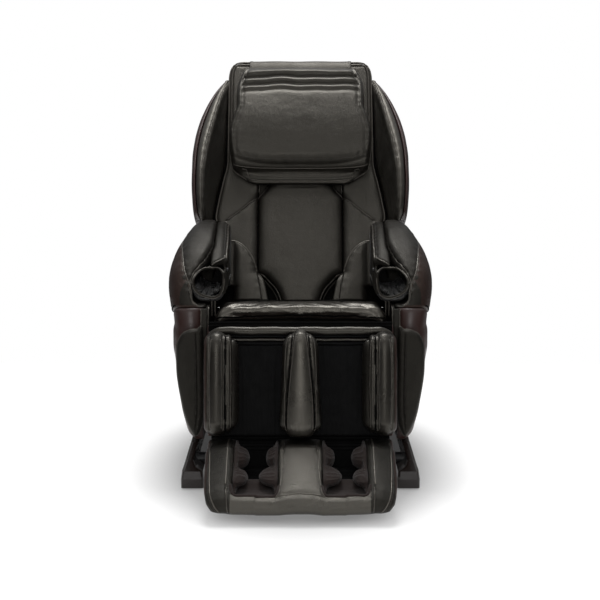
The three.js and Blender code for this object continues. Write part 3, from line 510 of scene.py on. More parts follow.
class Mat:
    def __init__(self, name, color, rough, metallic=0.0, specular=0.5, coat=0.0, coat_rough=0.1, sheen=0.0, sheen_rough=0.5, tint=(1, 1, 1)):
        self.m = bpy.data.materials.new(name)
        self.m.use_nodes = True
        self.t = self.m.node_tree
        self.b = self.t.nodes["Principled BSDF"]
        self.b.inputs["Base Color"].default_value = (*color, 1)
        self.b.inputs["Roughness"].default_value = rough
        self.b.inputs["Metallic"].default_value = metallic
        self.b.inputs["Specular IOR Level"].default_value = specular
        self.b.inputs["Specular Tint"].default_value = (*tint, 1)
        self.b.inputs["Coat Weight"].default_value = coat
        self.b.inputs["Coat Roughness"].default_value = coat_rough
        if sheen:
            self.b.inputs["Sheen Weight"].default_value = sheen
            self.b.inputs["Sheen Roughness"].default_value = sheen_rough
        self.co = self.t.nodes.new("ShaderNodeTexCoord").outputs["Object"]
        self.h = None

    def n(self, kind, **k):
        node = self.t.nodes.new(kind)
        for a, v in k.items():
            if a.startswith("i_"):
                node.inputs[int(a[2:]) if a[2:].isdigit() else a[2:].replace("_", " ")].default_value = v
            else:
                setattr(node, a, v)
        return node

    def link(self, a, b):
        self.t.links.new(a, b)

    def scaled(self, scale):
        mp = self.n("ShaderNodeMapping")
        mp.inputs["Scale"].default_value = scale
        self.link(self.co, mp.inputs["Vector"])
        return mp.outputs[0]

    def noise(self, scale, detail=3.0, rough=0.55, vec=None, distort=0.0):
        x = self.n("ShaderNodeTexNoise")
        x.inputs["Scale"].default_value = scale
        x.inputs["Detail"].default_value = detail
        x.inputs["Roughness"].default_value = rough
        x.inputs["Distortion"].default_value = distort
        self.link(vec or self.co, x.inputs["Vector"])
        return x.outputs[0]

    def voronoi(self, scale, feature="DISTANCE_TO_EDGE", vec=None, rand=1.0):
        x = self.n("ShaderNodeTexVoronoi", feature=feature)
        x.inputs["Scale"].default_value = scale
        x.inputs["Randomness"].default_value = rand
        self.link(vec or self.co, x.inputs["Vector"])
        return x.outputs["Distance"]

    def wave(self, scale, distort=0.0, direction="X", vec=None, detail=1.0):
        x = self.n("ShaderNodeTexWave", wave_type="BANDS", bands_direction=direction)
        x.inputs["Scale"].default_value = scale
        x.inputs["Distortion"].default_value = distort
        x.inputs["Detail"].default_value = detail
        self.link(vec or self.co, x.inputs["Vector"])
        return x.outputs["Fac"]

    def math(self, op, a, b=None, clamp=False):
        x = self.n("ShaderNodeMath", operation=op, use_clamp=clamp)
        for i, v in enumerate((a, b)):
            if v is None:
                continue
            if isinstance(v, (int, float)):
                x.inputs[i].default_value = v
            else:
                self.link(v, x.inputs[i])
        return x.outputs[0]

    def span(self, v, a, b, c, d):
        x = self.n("ShaderNodeMapRange")
        for i, w in zip((1, 2, 3, 4), (a, b, c, d)):
            x.inputs[i].default_value = w
        self.link(v, x.inputs[0])
        return x.outputs[0]

    def mix(self, fac, a, b):
        x = self.n("ShaderNodeMix", data_type="RGBA")
        self.link(fac, x.inputs[0])
        for i, v in ((6, a), (7, b)):
            if isinstance(v, tuple):
                x.inputs[i].default_value = (*v, 1)
            else:
                self.link(v, x.inputs[i])
        return x.outputs[2]

    def color(self, out):
        self.link(out, self.b.inputs["Base Color"])

    def rough(self, out):
        self.link(out, self.b.inputs["Roughness"])

    def bump(self, height, dist=0.001, strength=1.0):
        x = self.n("ShaderNodeBump")
        x.inputs["Distance"].default_value = dist
        x.inputs["Strength"].default_value = strength
        self.link(height, x.inputs["Height"])
        if self.h is not None:
            self.link(self.h, x.inputs["Normal"])
        self.h = x.outputs[0]
        self.link(self.h, self.b.inputs["Normal"])
        return self


def leather(name, dark, light, rough=(0.36, 0.5), grain=1.0, wrinkle=1.0, specular=0.5, coat=0.0):
    """Coated near-black hide: pebbled grain, faint creases and an uneven shine."""
    m = Mat(name, dark, rough[0], specular=specular, coat=coat, coat_rough=0.22, tint=(1.0, 0.938, 0.815))
    big, mid = m.noise(7.0, 3.0), m.noise(55.0, 4.0)
    tone = m.math("MULTIPLY", m.math("ADD", big, mid), 0.5)
    cells = m.voronoi(620.0, vec=None)
    # colour darker in the valleys between the pebbles
    pebble_rise = m.span(cells, 0.0, 0.22, 0.0, 1.0)
    col = m.mix(m.span(tone, 0.36, 0.64, 0.0, 1.0), dark, light)
    pit = m.mix(pebble_rise, tuple(c * 0.72 for c in dark), col)
    m.color(pit)
    m.rough(m.math("ADD", m.span(m.noise(24.0, 4.0), 0.3, 0.7, rough[0], rough[1]), m.span(cells, 0.0, 0.2, 0.06, 0.0)))
    crease = m.voronoi(95.0, vec=m.scaled((1.0, 1.0, 0.55)))
    m.bump(m.span(crease, 0.0, 0.09, 0.0, 1.0), 0.00035, 0.28 * wrinkle)
    m.bump(m.noise(38.0, 4.0, 0.6), 0.0035, 0.22 * wrinkle)
    m.bump(m.noise(13.0, 3.0, 0.5), 0.006, 0.22 * wrinkle)
    m.bump(m.span(cells, 0.0, 0.25, 0.0, 1.0), 0.00022, 0.5 * grain)
    return m.m


def plastic(name, dark, light, rough=0.2, coat=0.0, speck=0.0, orange=1.0):
    m = Mat(name, dark, rough, specular=0.42, coat=coat, coat_rough=0.05)
    m.color(m.mix(m.span(m.noise(9.0, 4.0), 0.35, 0.65, 0.0, 1.0), dark, light))
    m.rough(m.span(m.noise(60.0, 3.0), 0.3, 0.7, rough * 0.85, rough * 1.25 + 0.02))
    m.bump(m.noise(900.0 if speck else 160.0, 2.0), 0.0004 if speck else 0.0006, 0.35 if speck else 0.05 * orange)
    return m.m


def cloth(name, dark, light, rough=0.85, scale=900.0, sheen=0.15, specular=0.3):
    m = Mat(name, dark, rough, specular=specular, sheen=sheen)
    wx, wz = m.wave(scale, 0.6, "X"), m.wave(scale, 0.6, "Z")
    wy = m.wave(scale, 0.6, "Y")
    weave = m.math("MULTIPLY", m.math("ADD", m.math("ADD", wx, wz), wy), 0.333)
    tone = m.math("MULTIPLY", m.math("ADD", m.noise(14.0, 4.0), weave), 0.5)
    m.color(m.mix(m.span(tone, 0.3, 0.7, 0.0, 1.0), dark, light))
    m.rough(m.span(m.noise(40.0, 3.0), 0.3, 0.7, rough - 0.08, rough + 0.08))
    m.bump(weave, 0.00025, 0.5)
    m.bump(m.noise(120.0, 3.0), 0.0012, 0.35)
    return m.m


LEATHER = leather("leather_black", (0.0046, 0.0040, 0.0034), (0.0165, 0.0147, 0.0126), wrinkle=1.3, specular=0.62)
LEATHER_WING = leather("leather_black_wing", (0.0058, 0.0051, 0.0044), (0.0100, 0.0089, 0.0078), rough=(0.36, 0.48), specular=1.0)
LEATHER_SOFT = leather("leather_black_soft", (0.0052, 0.0046, 0.0040), (0.0090, 0.0080, 0.0070), rough=(0.40, 0.52), wrinkle=1.25)
LEATHER_ARM = leather("leather_black_arm", (0.0054, 0.0047, 0.0040), (0.0094, 0.0083, 0.0072), rough=(0.40, 0.52), specular=0.27)
LEATHER_PILLOW = leather("leather_black_pillow", (0.0056, 0.0049, 0.0042), (0.0098, 0.0087, 0.0076), rough=(0.30, 0.40), wrinkle=1.2, specular=0.6)
# a darker, duller copy of the black leather: painted shade, used on the fins, the seat's front roll and the side panels
# beside the seat
LEATHER_DARK = leather("leather_black_painted_shade", (0.0040, 0.0036, 0.0031), (0.0066, 0.0059, 0.0051), rough=(0.46, 0.60), specular=0.3)
LEATHER_GLOSS = leather("leather_black_gloss", (0.0058, 0.0051, 0.0044), (0.0100, 0.0089, 0.0078), rough=(0.24, 0.33), grain=0.7, wrinkle=0.3, specular=0.52)
# a lighter, shinier copy of the glossy leather: painted highlight on the middle calf pad's front panel
LEATHER_PAINTED_HIGHLIGHT = leather("leather_black_painted_highlight", (0.0070, 0.0062, 0.0053), (0.0120, 0.0106, 0.0092), rough=(0.24, 0.33), grain=0.9, wrinkle=0.3, specular=0.95)
# piping coloured far lighter than the hide it is made of: painted highlight, so the welts read as bright lines
PIPING = leather("leather_piping_painted_highlight", (0.0330, 0.0290, 0.0255), (0.0500, 0.0450, 0.0400), rough=(0.24, 0.34), grain=0.4, wrinkle=0.3, specular=0.8)
BROWN_HIDE = leather("leather_brown", (0.0190, 0.0082, 0.0066), (0.0270, 0.0124, 0.0102), rough=(0.42, 0.54), grain=0.8, wrinkle=0.7, specular=0.3)
GROOVE = cloth("seam_shadow", (0.0012, 0.0011, 0.0010), (0.0024, 0.0022, 0.0020), rough=0.9, sheen=0.0, specular=0.05)
THREAD = cloth("thread", (0.030, 0.027, 0.024), (0.060, 0.054, 0.048), rough=0.6, scale=2400.0)
# black stretch cloth, its colour darkened further: painted shade for the deep channels of the leg rest
LINING = cloth("stretch_cloth_painted_shade", (0.0028, 0.0028, 0.0029), (0.0060, 0.0060, 0.0062), rough=0.85, sheen=0.0, specular=0.1)
GATHERED = cloth("gathered_cloth", (0.0120, 0.0072, 0.0060), (0.0230, 0.0145, 0.0122), rough=0.75, scale=700.0, sheen=0.1, specular=0.2)
SHELL = plastic("brown_shell", (0.0290, 0.0132, 0.0110), (0.0370, 0.0176, 0.0150), rough=0.38, coat=0.05)
CUP_CLOTH = cloth("forearm_cloth", (0.0110, 0.0104, 0.0098), (0.0220, 0.0208, 0.0196), rough=0.7, sheen=0.12, specular=0.25)
BASE = plastic("brown_base_gloss", (0.0120, 0.0080, 0.0068), (0.0165, 0.0114, 0.0098), rough=0.20, coat=0.12)
BLACK = plastic("black_plastic", (0.0070, 0.0070, 0.0070), (0.0110, 0.0110, 0.0110), rough=0.42, speck=1.0)
ROLLER = plastic("roller_plastic", (0.300, 0.120, 0.040), (0.380, 0.160, 0.060), rough=0.38)


def steel_black():
    m = Mat("powder_coat", (0.012, 0.012, 0.0125), 0.45, specular=0.5)
    m.color(m.mix(m.span(m.noise(18.0, 4.0), 0.35, 0.65, 0.0, 1.0), (0.010, 0.010, 0.0105), (0.017, 0.017, 0.018)))
    m.rough(m.span(m.noise(75.0, 3.0), 0.3, 0.7, 0.38, 0.52))
    m.bump(m.noise(1300.0, 2.0), 0.0003, 0.5)
    return m.m


def steel_bright():
    m = Mat("ground_steel", (0.52, 0.53, 0.55), 0.3, metallic=1.0)
    lines = m.noise(60.0, 4.0, vec=m.scaled((1.0, 30.0, 30.0)))
    m.color(m.mix(m.span(lines, 0.3, 0.7, 0.0, 1.0), (0.44, 0.45, 0.47), (0.58, 0.59, 0.61)))
    m.rough(m.span(lines, 0.3, 0.7, 0.24, 0.38))
    m.bump(lines, 0.0002, 0.3)
    return m.m


def rubber():
    m = Mat("rubber", (0.006, 0.006, 0.006), 0.85, specular=0.3)
    m.color(m.mix(m.span(m.noise(30.0, 4.0), 0.35, 0.65, 0.0, 1.0), (0.0045, 0.0045, 0.0045), (0.009, 0.009, 0.009)))
    m.rough(m.span(m.noise(90.0), 0.3, 0.7, 0.75, 0.92))
    m.bump(m.noise(700.0, 3.0), 0.0004, 0.6)
    return m.m


STEEL, BRIGHT, RUBBER = steel_black(), steel_bright(), rubber()

# ------------------------------------------------------------------ camera, floor, light
cam = bpy.data.objects.new("camera", bpy.data.cameras.new("camera"))
SCENE.collection.objects.link(cam)
cam.location = (0.0, (-4000 + YS) / 1000, 1.072)
cam.rotation_euler = (math.radians(90 - 8.353), 0, 0)
cam.data.lens, cam.data.sensor_width = 82.26, 36.0
cam.data.shift_x = -0.4 / 600
cam.data.clip_end = 100
SCENE.camera = cam
SCENE.view_settings.view_transform = "Standard"
SCENE.view_settings.look = "None"

world = bpy.data.worlds.new("studio")
SCENE.world = world
world.use_nodes = True


def studio(wt):
    """A white room: pale behind the object, a bright ceiling, and dark towards the viewer."""
    link, new = wt.links.new, wt.nodes.new

    def span(v, a, b, c, d):
        m = new("ShaderNodeMapRange")
        m.interpolation_type = "SMOOTHSTEP"
        for i, w in zip((1, 2, 3, 4), (a, b, c, d)):
            m.inputs[i].default_value = w
        link(v, m.inputs[0])
        return m.outputs[0]

    def add(a, b):
        m = new("ShaderNodeMath")
        link(a, m.inputs[0])
        link(b, m.inputs[1])
        return m.outputs[0]

    xyz = new("ShaderNodeSeparateXYZ")
    link(new("ShaderNodeTexCoord").outputs["Generated"], xyz.inputs[0])
    room = add(span(xyz.outputs[2], 0.0, 0.95, *CEILING), span(xyz.outputs[1], 0.0, 0.9, *BACKDROP))
    lit, white, mix = new("ShaderNodeBackground"), new("ShaderNodeBackground"), new("ShaderNodeMixShader")
    white.inputs[0].default_value = lit.inputs[0].default_value = (1, 1, 1, 1)
    link(room, lit.inputs[1])
    link(new("ShaderNodeLightPath").outputs["Is Camera Ray"], mix.inputs[0])
    link(lit.outputs[0], mix.inputs[1])
    link(white.outputs[0], mix.inputs[2])
    link(mix.outputs[0], wt.nodes["World Output"].inputs[0])


CEILING, BACKDROP = (0.03, 0.72), (0.0, 0.08)
studio(world.node_tree)


def area(name, loc, target, size, power, size_y=None):
    d = bpy.data.lights.new(name, "AREA")
    d.energy, d.shape, d.size, d.size_y = power, "RECTANGLE", size, size_y or size
    o = bpy.data.objects.new(name, d)
    SCENE.collection.objects.link(o)
    o.location = loc
    o.rotation_euler = (Vector(target) - Vector(loc)).to_track_quat("-Z", "Y").to_euler()
    return o


# ================================================================== backrest
OUTER = cols([[16, 203], [56, 203], [72, 232], [110, 253], [262, 256], [290, 263], [340, 256], [400, 244], [480, 229], [740, 229], [769, 229], [798, 225], [816, 214], [826, 198]])[0]
CENTRE = [[6, 53], [23, 59], [45, 67], [64, 77], [80, 90], [95, 103], [105, 117], [112, 131], [358, 131], [385, 110], [433, 84], [470, 80], [830, 80]]


HOLE = [(131, 110), (117, 103), (103, 93), (91, 79), (79, 63), (69, 44), (61, 22), (55, 5), (50, -20), (92, -20), (97, 16), (103, 48), (110, 84), (118, 100)]


def gauss(d, w):
    return np.exp(-((d / w) ** 2))


def back_height(x, s):
    """How far the back's upholstery stands forward, mm, at x and s up the back."""
    ax = np.abs(x)
    o = OUTER(s)
    ring = [(w, z) for z, w in CENTRE] + [(-w, z) for z, w in reversed(CENTRE)]
    c = poly2(x, s, [(-30, -4), (30, -4), *ring[: len(CENTRE)], (80, 860), (-80, 860), *ring[len(CENTRE) :]])
    P = np.stack([x, s, 0 * x], 1)
    Pa = np.stack([ax, s, 0 * x], 1)
    inside = np.clip(-c, 0, None)
    outside = np.clip(c, 0, None)
    mid = 1 + 15.5 * (1 - np.exp(-inside / 15)) + 2.5 * np.clip(1 - (ax / 120) ** 2, 0, 1)
    edge = np.clip(o - ax, 0, None)
    side = 3 + 13 * (1 - np.exp(-outside / 13)) + 2.0 * np.sin(np.clip(outside / (outside + edge + 1), 0, 1) * np.pi)
    h = np.where(c < 0, mid, side)
    # the narrow deep joint between the middle and the sides
    j = np.abs(c)
    h -= 9 * gauss(j, 2.6) * step(870, 840, s + 40) + 3 * gauss(j, 9)
    # the joint runs on upwards beside the tapering middle, which sinks there
    up, _ = near(Pa, [(131, 358, 0), (131, 470, 0)])
    h -= 6 * gauss(up, 2.8)
    wedge = poly2(ax, s, [(128, 366), (128, 470), (84, 470), (84, 437), (110, 389)])
    h -= 7 * step(4, -6, wedge)
    # hollow beside the foot of the middle
    hole = poly2(ax, s, HOLE)
    h -= 34 * step(3.5, -5, hole)
    # seam from the joint out to the arm
    d1, t1 = near(Pa, curve([(131, 358, 0), (158, 336, 0), (187, 311, 0), (229, 277, 0)], 4))
    h -= 3.6 * gauss(d1, 2.6) + 2.0 * gauss(d1, 9)
    h += 0.7 * np.sin(t1 / 5.3) * gauss(d1, 11)
    # hip layer that overlaps the side
    arc = curve([(262, 202, 0), (226, 206, 0), (206, 208, 0), (186, 199, 0), (167, 182, 0), (152, 161, 0), (140, 138, 0), (130, 98, 0), (121, 50, 0), (117, 16, 0), (116, 0, 0)], 4)
    low = poly2(ax, s, [*[(p[0], p[1]) for p in arc], (262, -20)])
    lay = step(2.0, -2.5, low) * (1 - 0.85 * step(186, 214, ax))
    h += 6.5 * lay + 3.0 * step(0, -26, low) * (1 - step(180, 208, ax)) * step(0, 40, s)
    d2, t2 = near(Pa, arc)
    h -= 1.8 * gauss(d2, 2.4)
    h += 0.6 * np.sin(t2 / 4.7 + 1) * gauss(np.clip(-low, 0, 99), 14) * step(2, -2, low) * step(215, 190, ax)
    # edge roll and the stitched channel beside the outer welt
    h -= 13 * np.exp(-edge / 5.0)
    h -= 2.2 * gauss(edge - 13, 2.4) * step(560, 640, s)
    # rolled top
    top = np.clip((s - 804) / 23, 0, 1)
    h -= 14 * (1 - np.sqrt(1 - top**2 * 0.98))
    h -= 2.0 * gauss(s - 808, 2.6) * step(215, 185, ax)
    # slack in the hide
    N3 = np.stack([x, s, 0 * x + 7], 1)
    calm = 1 - 0.6 * step(430, 470, s)
    h += calm * (1.3 * vnoise(N3, (95, 120, 90), 3) + 0.8 * fbm(N3, (34, 60, 40), 5, 2))
    crease = 1 - np.abs(vnoise(N3, (60, 16, 40), 9))
    h += 0.9 * np.clip(crease - 0.72, 0, 1) / 0.28 * gauss(outside, 26) * (c > 0) * step(420, 330, s)
    h -= 3.6 * step(150, 206, ax) * step(400, 320, s)
    inner = 30 - 11.8 * step(372, 388, s)
    outer = 15.4 + 2.8 * step(330, 388, s)
    w = step(186, 207, ax)
    return smin(h, inner * (1 - w) + outer * w, 1.6)


def back_upholstery():
    rows = np.concatenate([np.linspace(16, 800, 282), np.linspace(803, 825.2, 14)])
    u = np.linspace(-1, 1, 261)
    R = []
    for s in rows:
        o = float(OUTER(s))
        x = u * o
        y = -back_height(x, np.full_like(x, s))
        rear = 80.0 if s < 781 else 46.5 - 10 * max(0.0, (s - 800) / 26)
        fi = min(196.0, o - 8)
        wall = np.linspace(y[-1] + 3, rear, 6)
        r = [(o, w) for w in wall] + [(fi, rear), (fi - 1, min(46.4, rear)), (60, min(46.4, rear))]
        l = [(-a, b) for a, b in reversed(r)]
        ring = [(a, b) for a, b in zip(x, y)] + r + l
        R.append([(a, b, s) for a, b in ring])
    V, Q, T = rings(R)
    Q, T = outward(V, Q, T)
    mid = V[Q].mean(1)
    ring = [(w, z) for z, w in CENTRE] + [(-w, z) for z, w in reversed(CENTRE)]
    c = poly2(mid[:, 0], mid[:, 2], [(-30, -4), (30, -4), *ring[: len(CENTRE)], (80, 860), (-80, 860), *ring[len(CENTRE) :]])
    deep = (np.abs(c) < 2.0) & (mid[:, 1] < 12) & (mid[:, 2] < 790)
    up = (np.abs(np.abs(mid[:, 0]) - 131) < 1.8) & (mid[:, 2] > 358) & (mid[:, 2] < 470) & (mid[:, 1] < 12)
    out = Piece().add(back(V), Q, T, 0)
    foot = (poly2(np.abs(mid[:, 0]), mid[:, 2], HOLE) < 0.5) & (mid[:, 1] < 24)
    # faces in the deep joint, beside the tapering middle and in the hollow at its foot get the seam shadow: painted
    # shade
    out.qm[0] = np.where(deep | up | foot, 3, 0)
    skin_x = lambda P: np.stack([P[:, 0], -back_height(P[:, 0], P[:, 1]), P[:, 1]], 1)  # noqa: E731
    for sx in (-1, 1):
        m = A([sx, 1.0])
        # outer welt, double at the top
        s = np.linspace(276, 796, 156)
        line = [(OUTER(v) - 1.5, v) for v in s] + [(217, 812), (207, 820), (196, 823.6)] + [(x, 824.8) for x in np.linspace(186, 60, 30)]
        line = curve(A(line), 3)
        P = np.stack([line[:, 0] * sx, -back_height(line[:, 0] - 5, np.minimum(line[:, 1], 812)) + 4.0, line[:, 1]], 1)
        V2, Q2, T2 = tube(back(P), 2.6)
        out.add(V2, Q2, T2, 1)
        inner = np.stack([line[:, 0] * 1.0 - 9.5, np.minimum(line[:, 1], 815)], 1)
        inner = inner[inner[:, 1] > 610]
        P = skin_x(inner * m)
        P[:, 1] -= 0.6
        V2, Q2, T2 = tube(back(P), 1.9)
        out.add(V2, Q2, T2, 1)
        # welts of the hip layer, of the tapering middle and of its foot
        for pts, r in (
            ([(228, 205), (206, 208), (186, 199), (167, 182), (152, 161), (141, 138), (134, 116)], 3.2),
            ([(132, 360), (110, 387), (84, 434), (80, 462)], 2.0),
            ([(135, 113), (117, 106), (103, 95), (90, 80), (77, 64), (67, 45), (59, 23), (54, 6)], 3.0),
            ([(132, 358), (158, 337), (187, 312), (226, 281)], 1.9),
        ):
            L = curve(A(pts, ) * m, 3)
            P = skin_x(L)
            P[:, 1] -= 0.8
            V2, Q2, T2 = tube(back(P), r)
            out.add(V2, Q2, T2, 1)
        # stitching beside the seams
        for pts in (
            [(138, 347), (160, 329), (189, 304), (226, 271)],
            [(218, 199), (204, 201), (189, 193), (172, 176), (158, 156), (147, 134)],
        ):
            L = curve(A(pts) * m, 3)
            P = skin_x(L)
            N = np.tile([0.0, -1.0, 0.0], (len(P), 1))
            V2, Q2, T2 = stitches(P, N)
            out.add(back(V2), Q2, T2, 2)
    # sheets in the seam shadow behind the hips and in the slot beside the wings: painted shade
    for sx in (-1, 1):
        for x0, x1, y0, y1, s0, s1 in ((190, 259, 3, 12, 2, 112), (250, 268, 4, 12, 104, 262)):
            R = [[(sx * a, b, s) for a, b in ((x0, y0), (x1, y0), (x1, y1), (x0, y1))] for s in np.linspace(s0, s1, 24)]
            V2, Q2, T2 = rings(R)
            Q2, T2 = outward(V2, Q2, T2)
            out.add(back(V2), Q2, T2, 3)
        R = []
        for s in np.linspace(258, 752, 60):
            a, b = float(OUTER(s)) - 7, max(float(WING_IN(s)), float(OUTER(s))) + 5
            R.append([(sx * a, 8, s), (sx * b, 8, s), (sx * b, 16, s), (sx * a, 16, s)])
        V2, Q2, T2 = rings(R)
        Q2, T2 = outward(V2, Q2, T2)
        out.add(back(V2), Q2, T2, 3)
    out.make("back_upholstery", [LEATHER, PIPING, THREAD, GROOVE], "back", ["back_center_pad", "left_back_bolster", "right_back_bolster"], "leather", fill=0.7)


PW = cols([[394, 146, 12], [399, 158, 14], [411, 172, 16], [426, 196, 20], [440, 211, 42], [452, 213, 54], [468, 217, 64], [490, 220, 71], [515, 223, 75], [547, 224, 78], [590, 214, 79], [637, 202, 77], [690, 200, 72], [722, 198, 65], [750, 190, 61], [762, 186, 58], [772, 181, 51], [780, 177, 40], [787, 173, 26]])
WING_IN = cols([[258, 276], [285, 272], [330, 266], [400, 252], [470, 238], [540, 236], [740, 232], [760, 230]])[0]


def pillow():
    rows = np.linspace(394, 787, 190)
    u = np.sin(np.linspace(-1, 1, 151) * np.pi / 2 * 0.985)
    u = u / u[-1]
    R = []
    for s in rows:
        w, t = float(PW[0](s)), float(PW[1](s))
        wave = 3.2 * math.sin(s / 21.0) * step(600, 640, s) * step(770, 720, s) + 2.2 * math.sin(s / 33.0 + 1) * step(640, 590, s) * step(420, 450, s)
        w += float(wave) * 0.35
        x = u * w
        a = np.abs(u)
        d = w - np.abs(x)  # from the side edge
        bend = 26 * (np.abs(x) / 215) ** 4
        sb = s - bend  # the lower seams curve up towards the sides
        f = 0.50 + 0.50 * np.clip(1 - np.clip((16 - d) / 16, 0, 1) ** 2, 0, 1) ** 0.6
        h = t * f
        body = step(14, 26, d)
        # soft rim round the front panel
        h -= 2.4 * gauss(d - 20, 7) * step(452, 480, sb) * step(790, 750, s)
        h += 2.2 * gauss(d - 9, 6) * step(440, 470, sb)
        h += 3.2 * body * np.sin(np.clip((d - 17) / (w - 17), 0, 1) * np.pi / 2)
        # rolls along the top edge
        wob = 2.2 * np.sin(x / 37.0 + 0.6) + 1.4 * np.sin(x / 17.0 + 2)
        sw = s + wob * step(775, 745, s) + 6 * a**3
        h += body * (4.6 * gauss(sw - 759, 8) + 4.8 * gauss(sw - 727, 7.5) + 3.2 * gauss(sw - 700, 7.5))
        h -= body * (7.2 * gauss(sw - 742, 4.2) + 6.2 * gauss(sw - 713, 4.2) + 2.2 * gauss(sw - 687, 7))
        # lower roll, the sunk joint under it and the thin skirt
        h += 3.0 * gauss(sb - 468, 14) * body
        h -= 3.4 * gauss(sb - 443, 4.5)
        h -= 1.6 * gauss(sb - 420, 2.6) + 3.0 * gauss(sb - 408, 5)
        N3 = np.stack([x, 0 * x + s, 0 * x], 1)
        h += 1.5 * vnoise(N3, (120, 100, 90), 21) + 0.5 * fbm(N3, (40, 30, 40), 23, 2)
        # gathers where the rim is sewn
        h += 0.35 * np.sin(s / 4.1 + 2 * np.sin(s / 17.0)) * gauss(d - 15, 8) * step(450, 480, sb)
        h += 0.7 * np.sin(x / 5.0 + 2 * np.sin(x / 31.0)) * gauss(sb - 458, 9)
        h = np.maximum(h, 5.0)
        back_y = -18.6
        ring = [(p, back_y - q, s) for p, q in zip(x, h)]
        ring += [(p * w, back_y, s) for p in (0.985, 0.6, 0.2, -0.2, -0.6, -0.985)]
        R.append(ring)
    V, Q, T = rings(R)
    Q, T = outward(V, Q, T)
    V = relax(V, Q, 2, 0.4)
    skin = Skin(V, Q)
    out = Piece().add(back(V), Q, T, 0)
    xs = np.linspace(-1, 1, 120)

    def lay(pts, r, off=0.3, mat=1):
        P, _ = skin.lay(A(pts), off)
        V2, Q2, T2 = tube(back(P), r, 7)
        out.add(V2, Q2, T2, mat)

    for s0, r in ((424, 1.5), (398, 1.7)):
        L = []
        for q in xs:
            x = q * 209 if s0 > 410 else q * 184
            L.append((x, -60, s0 + 26 * (abs(x) / 215) ** 4))
        lay(L, r)
    for sx in (-1, 1):
        edge = [(sx * (PW[0](v) + 1.5 * math.sin(v / 23.0)), -19 - PW[1](v) * 0.5, v) for v in np.linspace(408, 778, 130)]
        lay(curve(edge, 3), 2.0, 0.0)
    L = A([(x, -100, 437 + 26 * (abs(x) / 215) ** 4) for x in np.linspace(-196, 196, 120)])
    P, N = skin.lay(L, 0.2)
    V2, Q2, T2 = stitches(P, N)
    out.add(back(V2), Q2, T2, 2)
    L = A([(x, -90, 741 + 2.2 * math.sin(x / 37.0 + 0.6)) for x in np.linspace(-172, 172, 120)])
    P, N = skin.lay(L, 0.3)
    V2, Q2, T2 = stitches(P, N)
    out.add(back(V2), Q2, T2, 2)
    out.make("head_pillow_cover", [LEATHER_PILLOW, PIPING, THREAD], "pillow", ["head_pillow"], "leather", fill=0.6)


WZ = [
    [262, 276, 292, 312, -62, 20],
    [285, 272, 296, 328, -88, 60],
    [330, 266, 300, 334, -108, 80],
    [400, 252, 300, 338, -112, 80],
    [470, 238, 296, 338, -100, 80],
    [540, 236, 286, 332, -84, 80],
    [600, 235, 274, 320, -66, 80],
    [660, 234, 262, 300, -46, 78],
    [710, 233, 250, 277, -26, 70],
    [740, 231, 241, 259, -12, 60],
    [762, 228, 233, 242, -4, 52],
]
HB = (69.3, 0.5)


def chaikin(P, n=2, closed=True, keep=()):
    P = A(P, float)
    for _ in range(n):
        a, b = P, np.roll(P, -1, 0)
        Q = np.stack([0.75 * a + 0.25 * b, 0.25 * a + 0.75 * b], 1).reshape(-1, P.shape[1])
        P = Q if closed else np.concatenate([P[:1], Q[1:-2], P[-1:]])
    return P


def even(P, n):
    """n points evenly spaced round a closed outline."""
    P = np.concatenate([P, P[:1]])
    s = np.concatenate([[0], np.cumsum(np.linalg.norm(np.diff(P, axis=0), axis=1))])
    u = np.linspace(0, s[-1], n, endpoint=False)
    return np.stack([np.interp(u, s, P[:, k]) for k in range(P.shape[1])], 1)


def clear_arms(V, r=287.6):
    """Keeps the lower ends of the wings outside the circle that the arms' rear ends fill."""
    d = V[:, 1:] - A(HB)
    L = np.linalg.norm(d, axis=1)
    low = L < r
    V = V.copy()
    V[low, 1:] = A(HB) + d[low] / L[low, None] * r
    return V


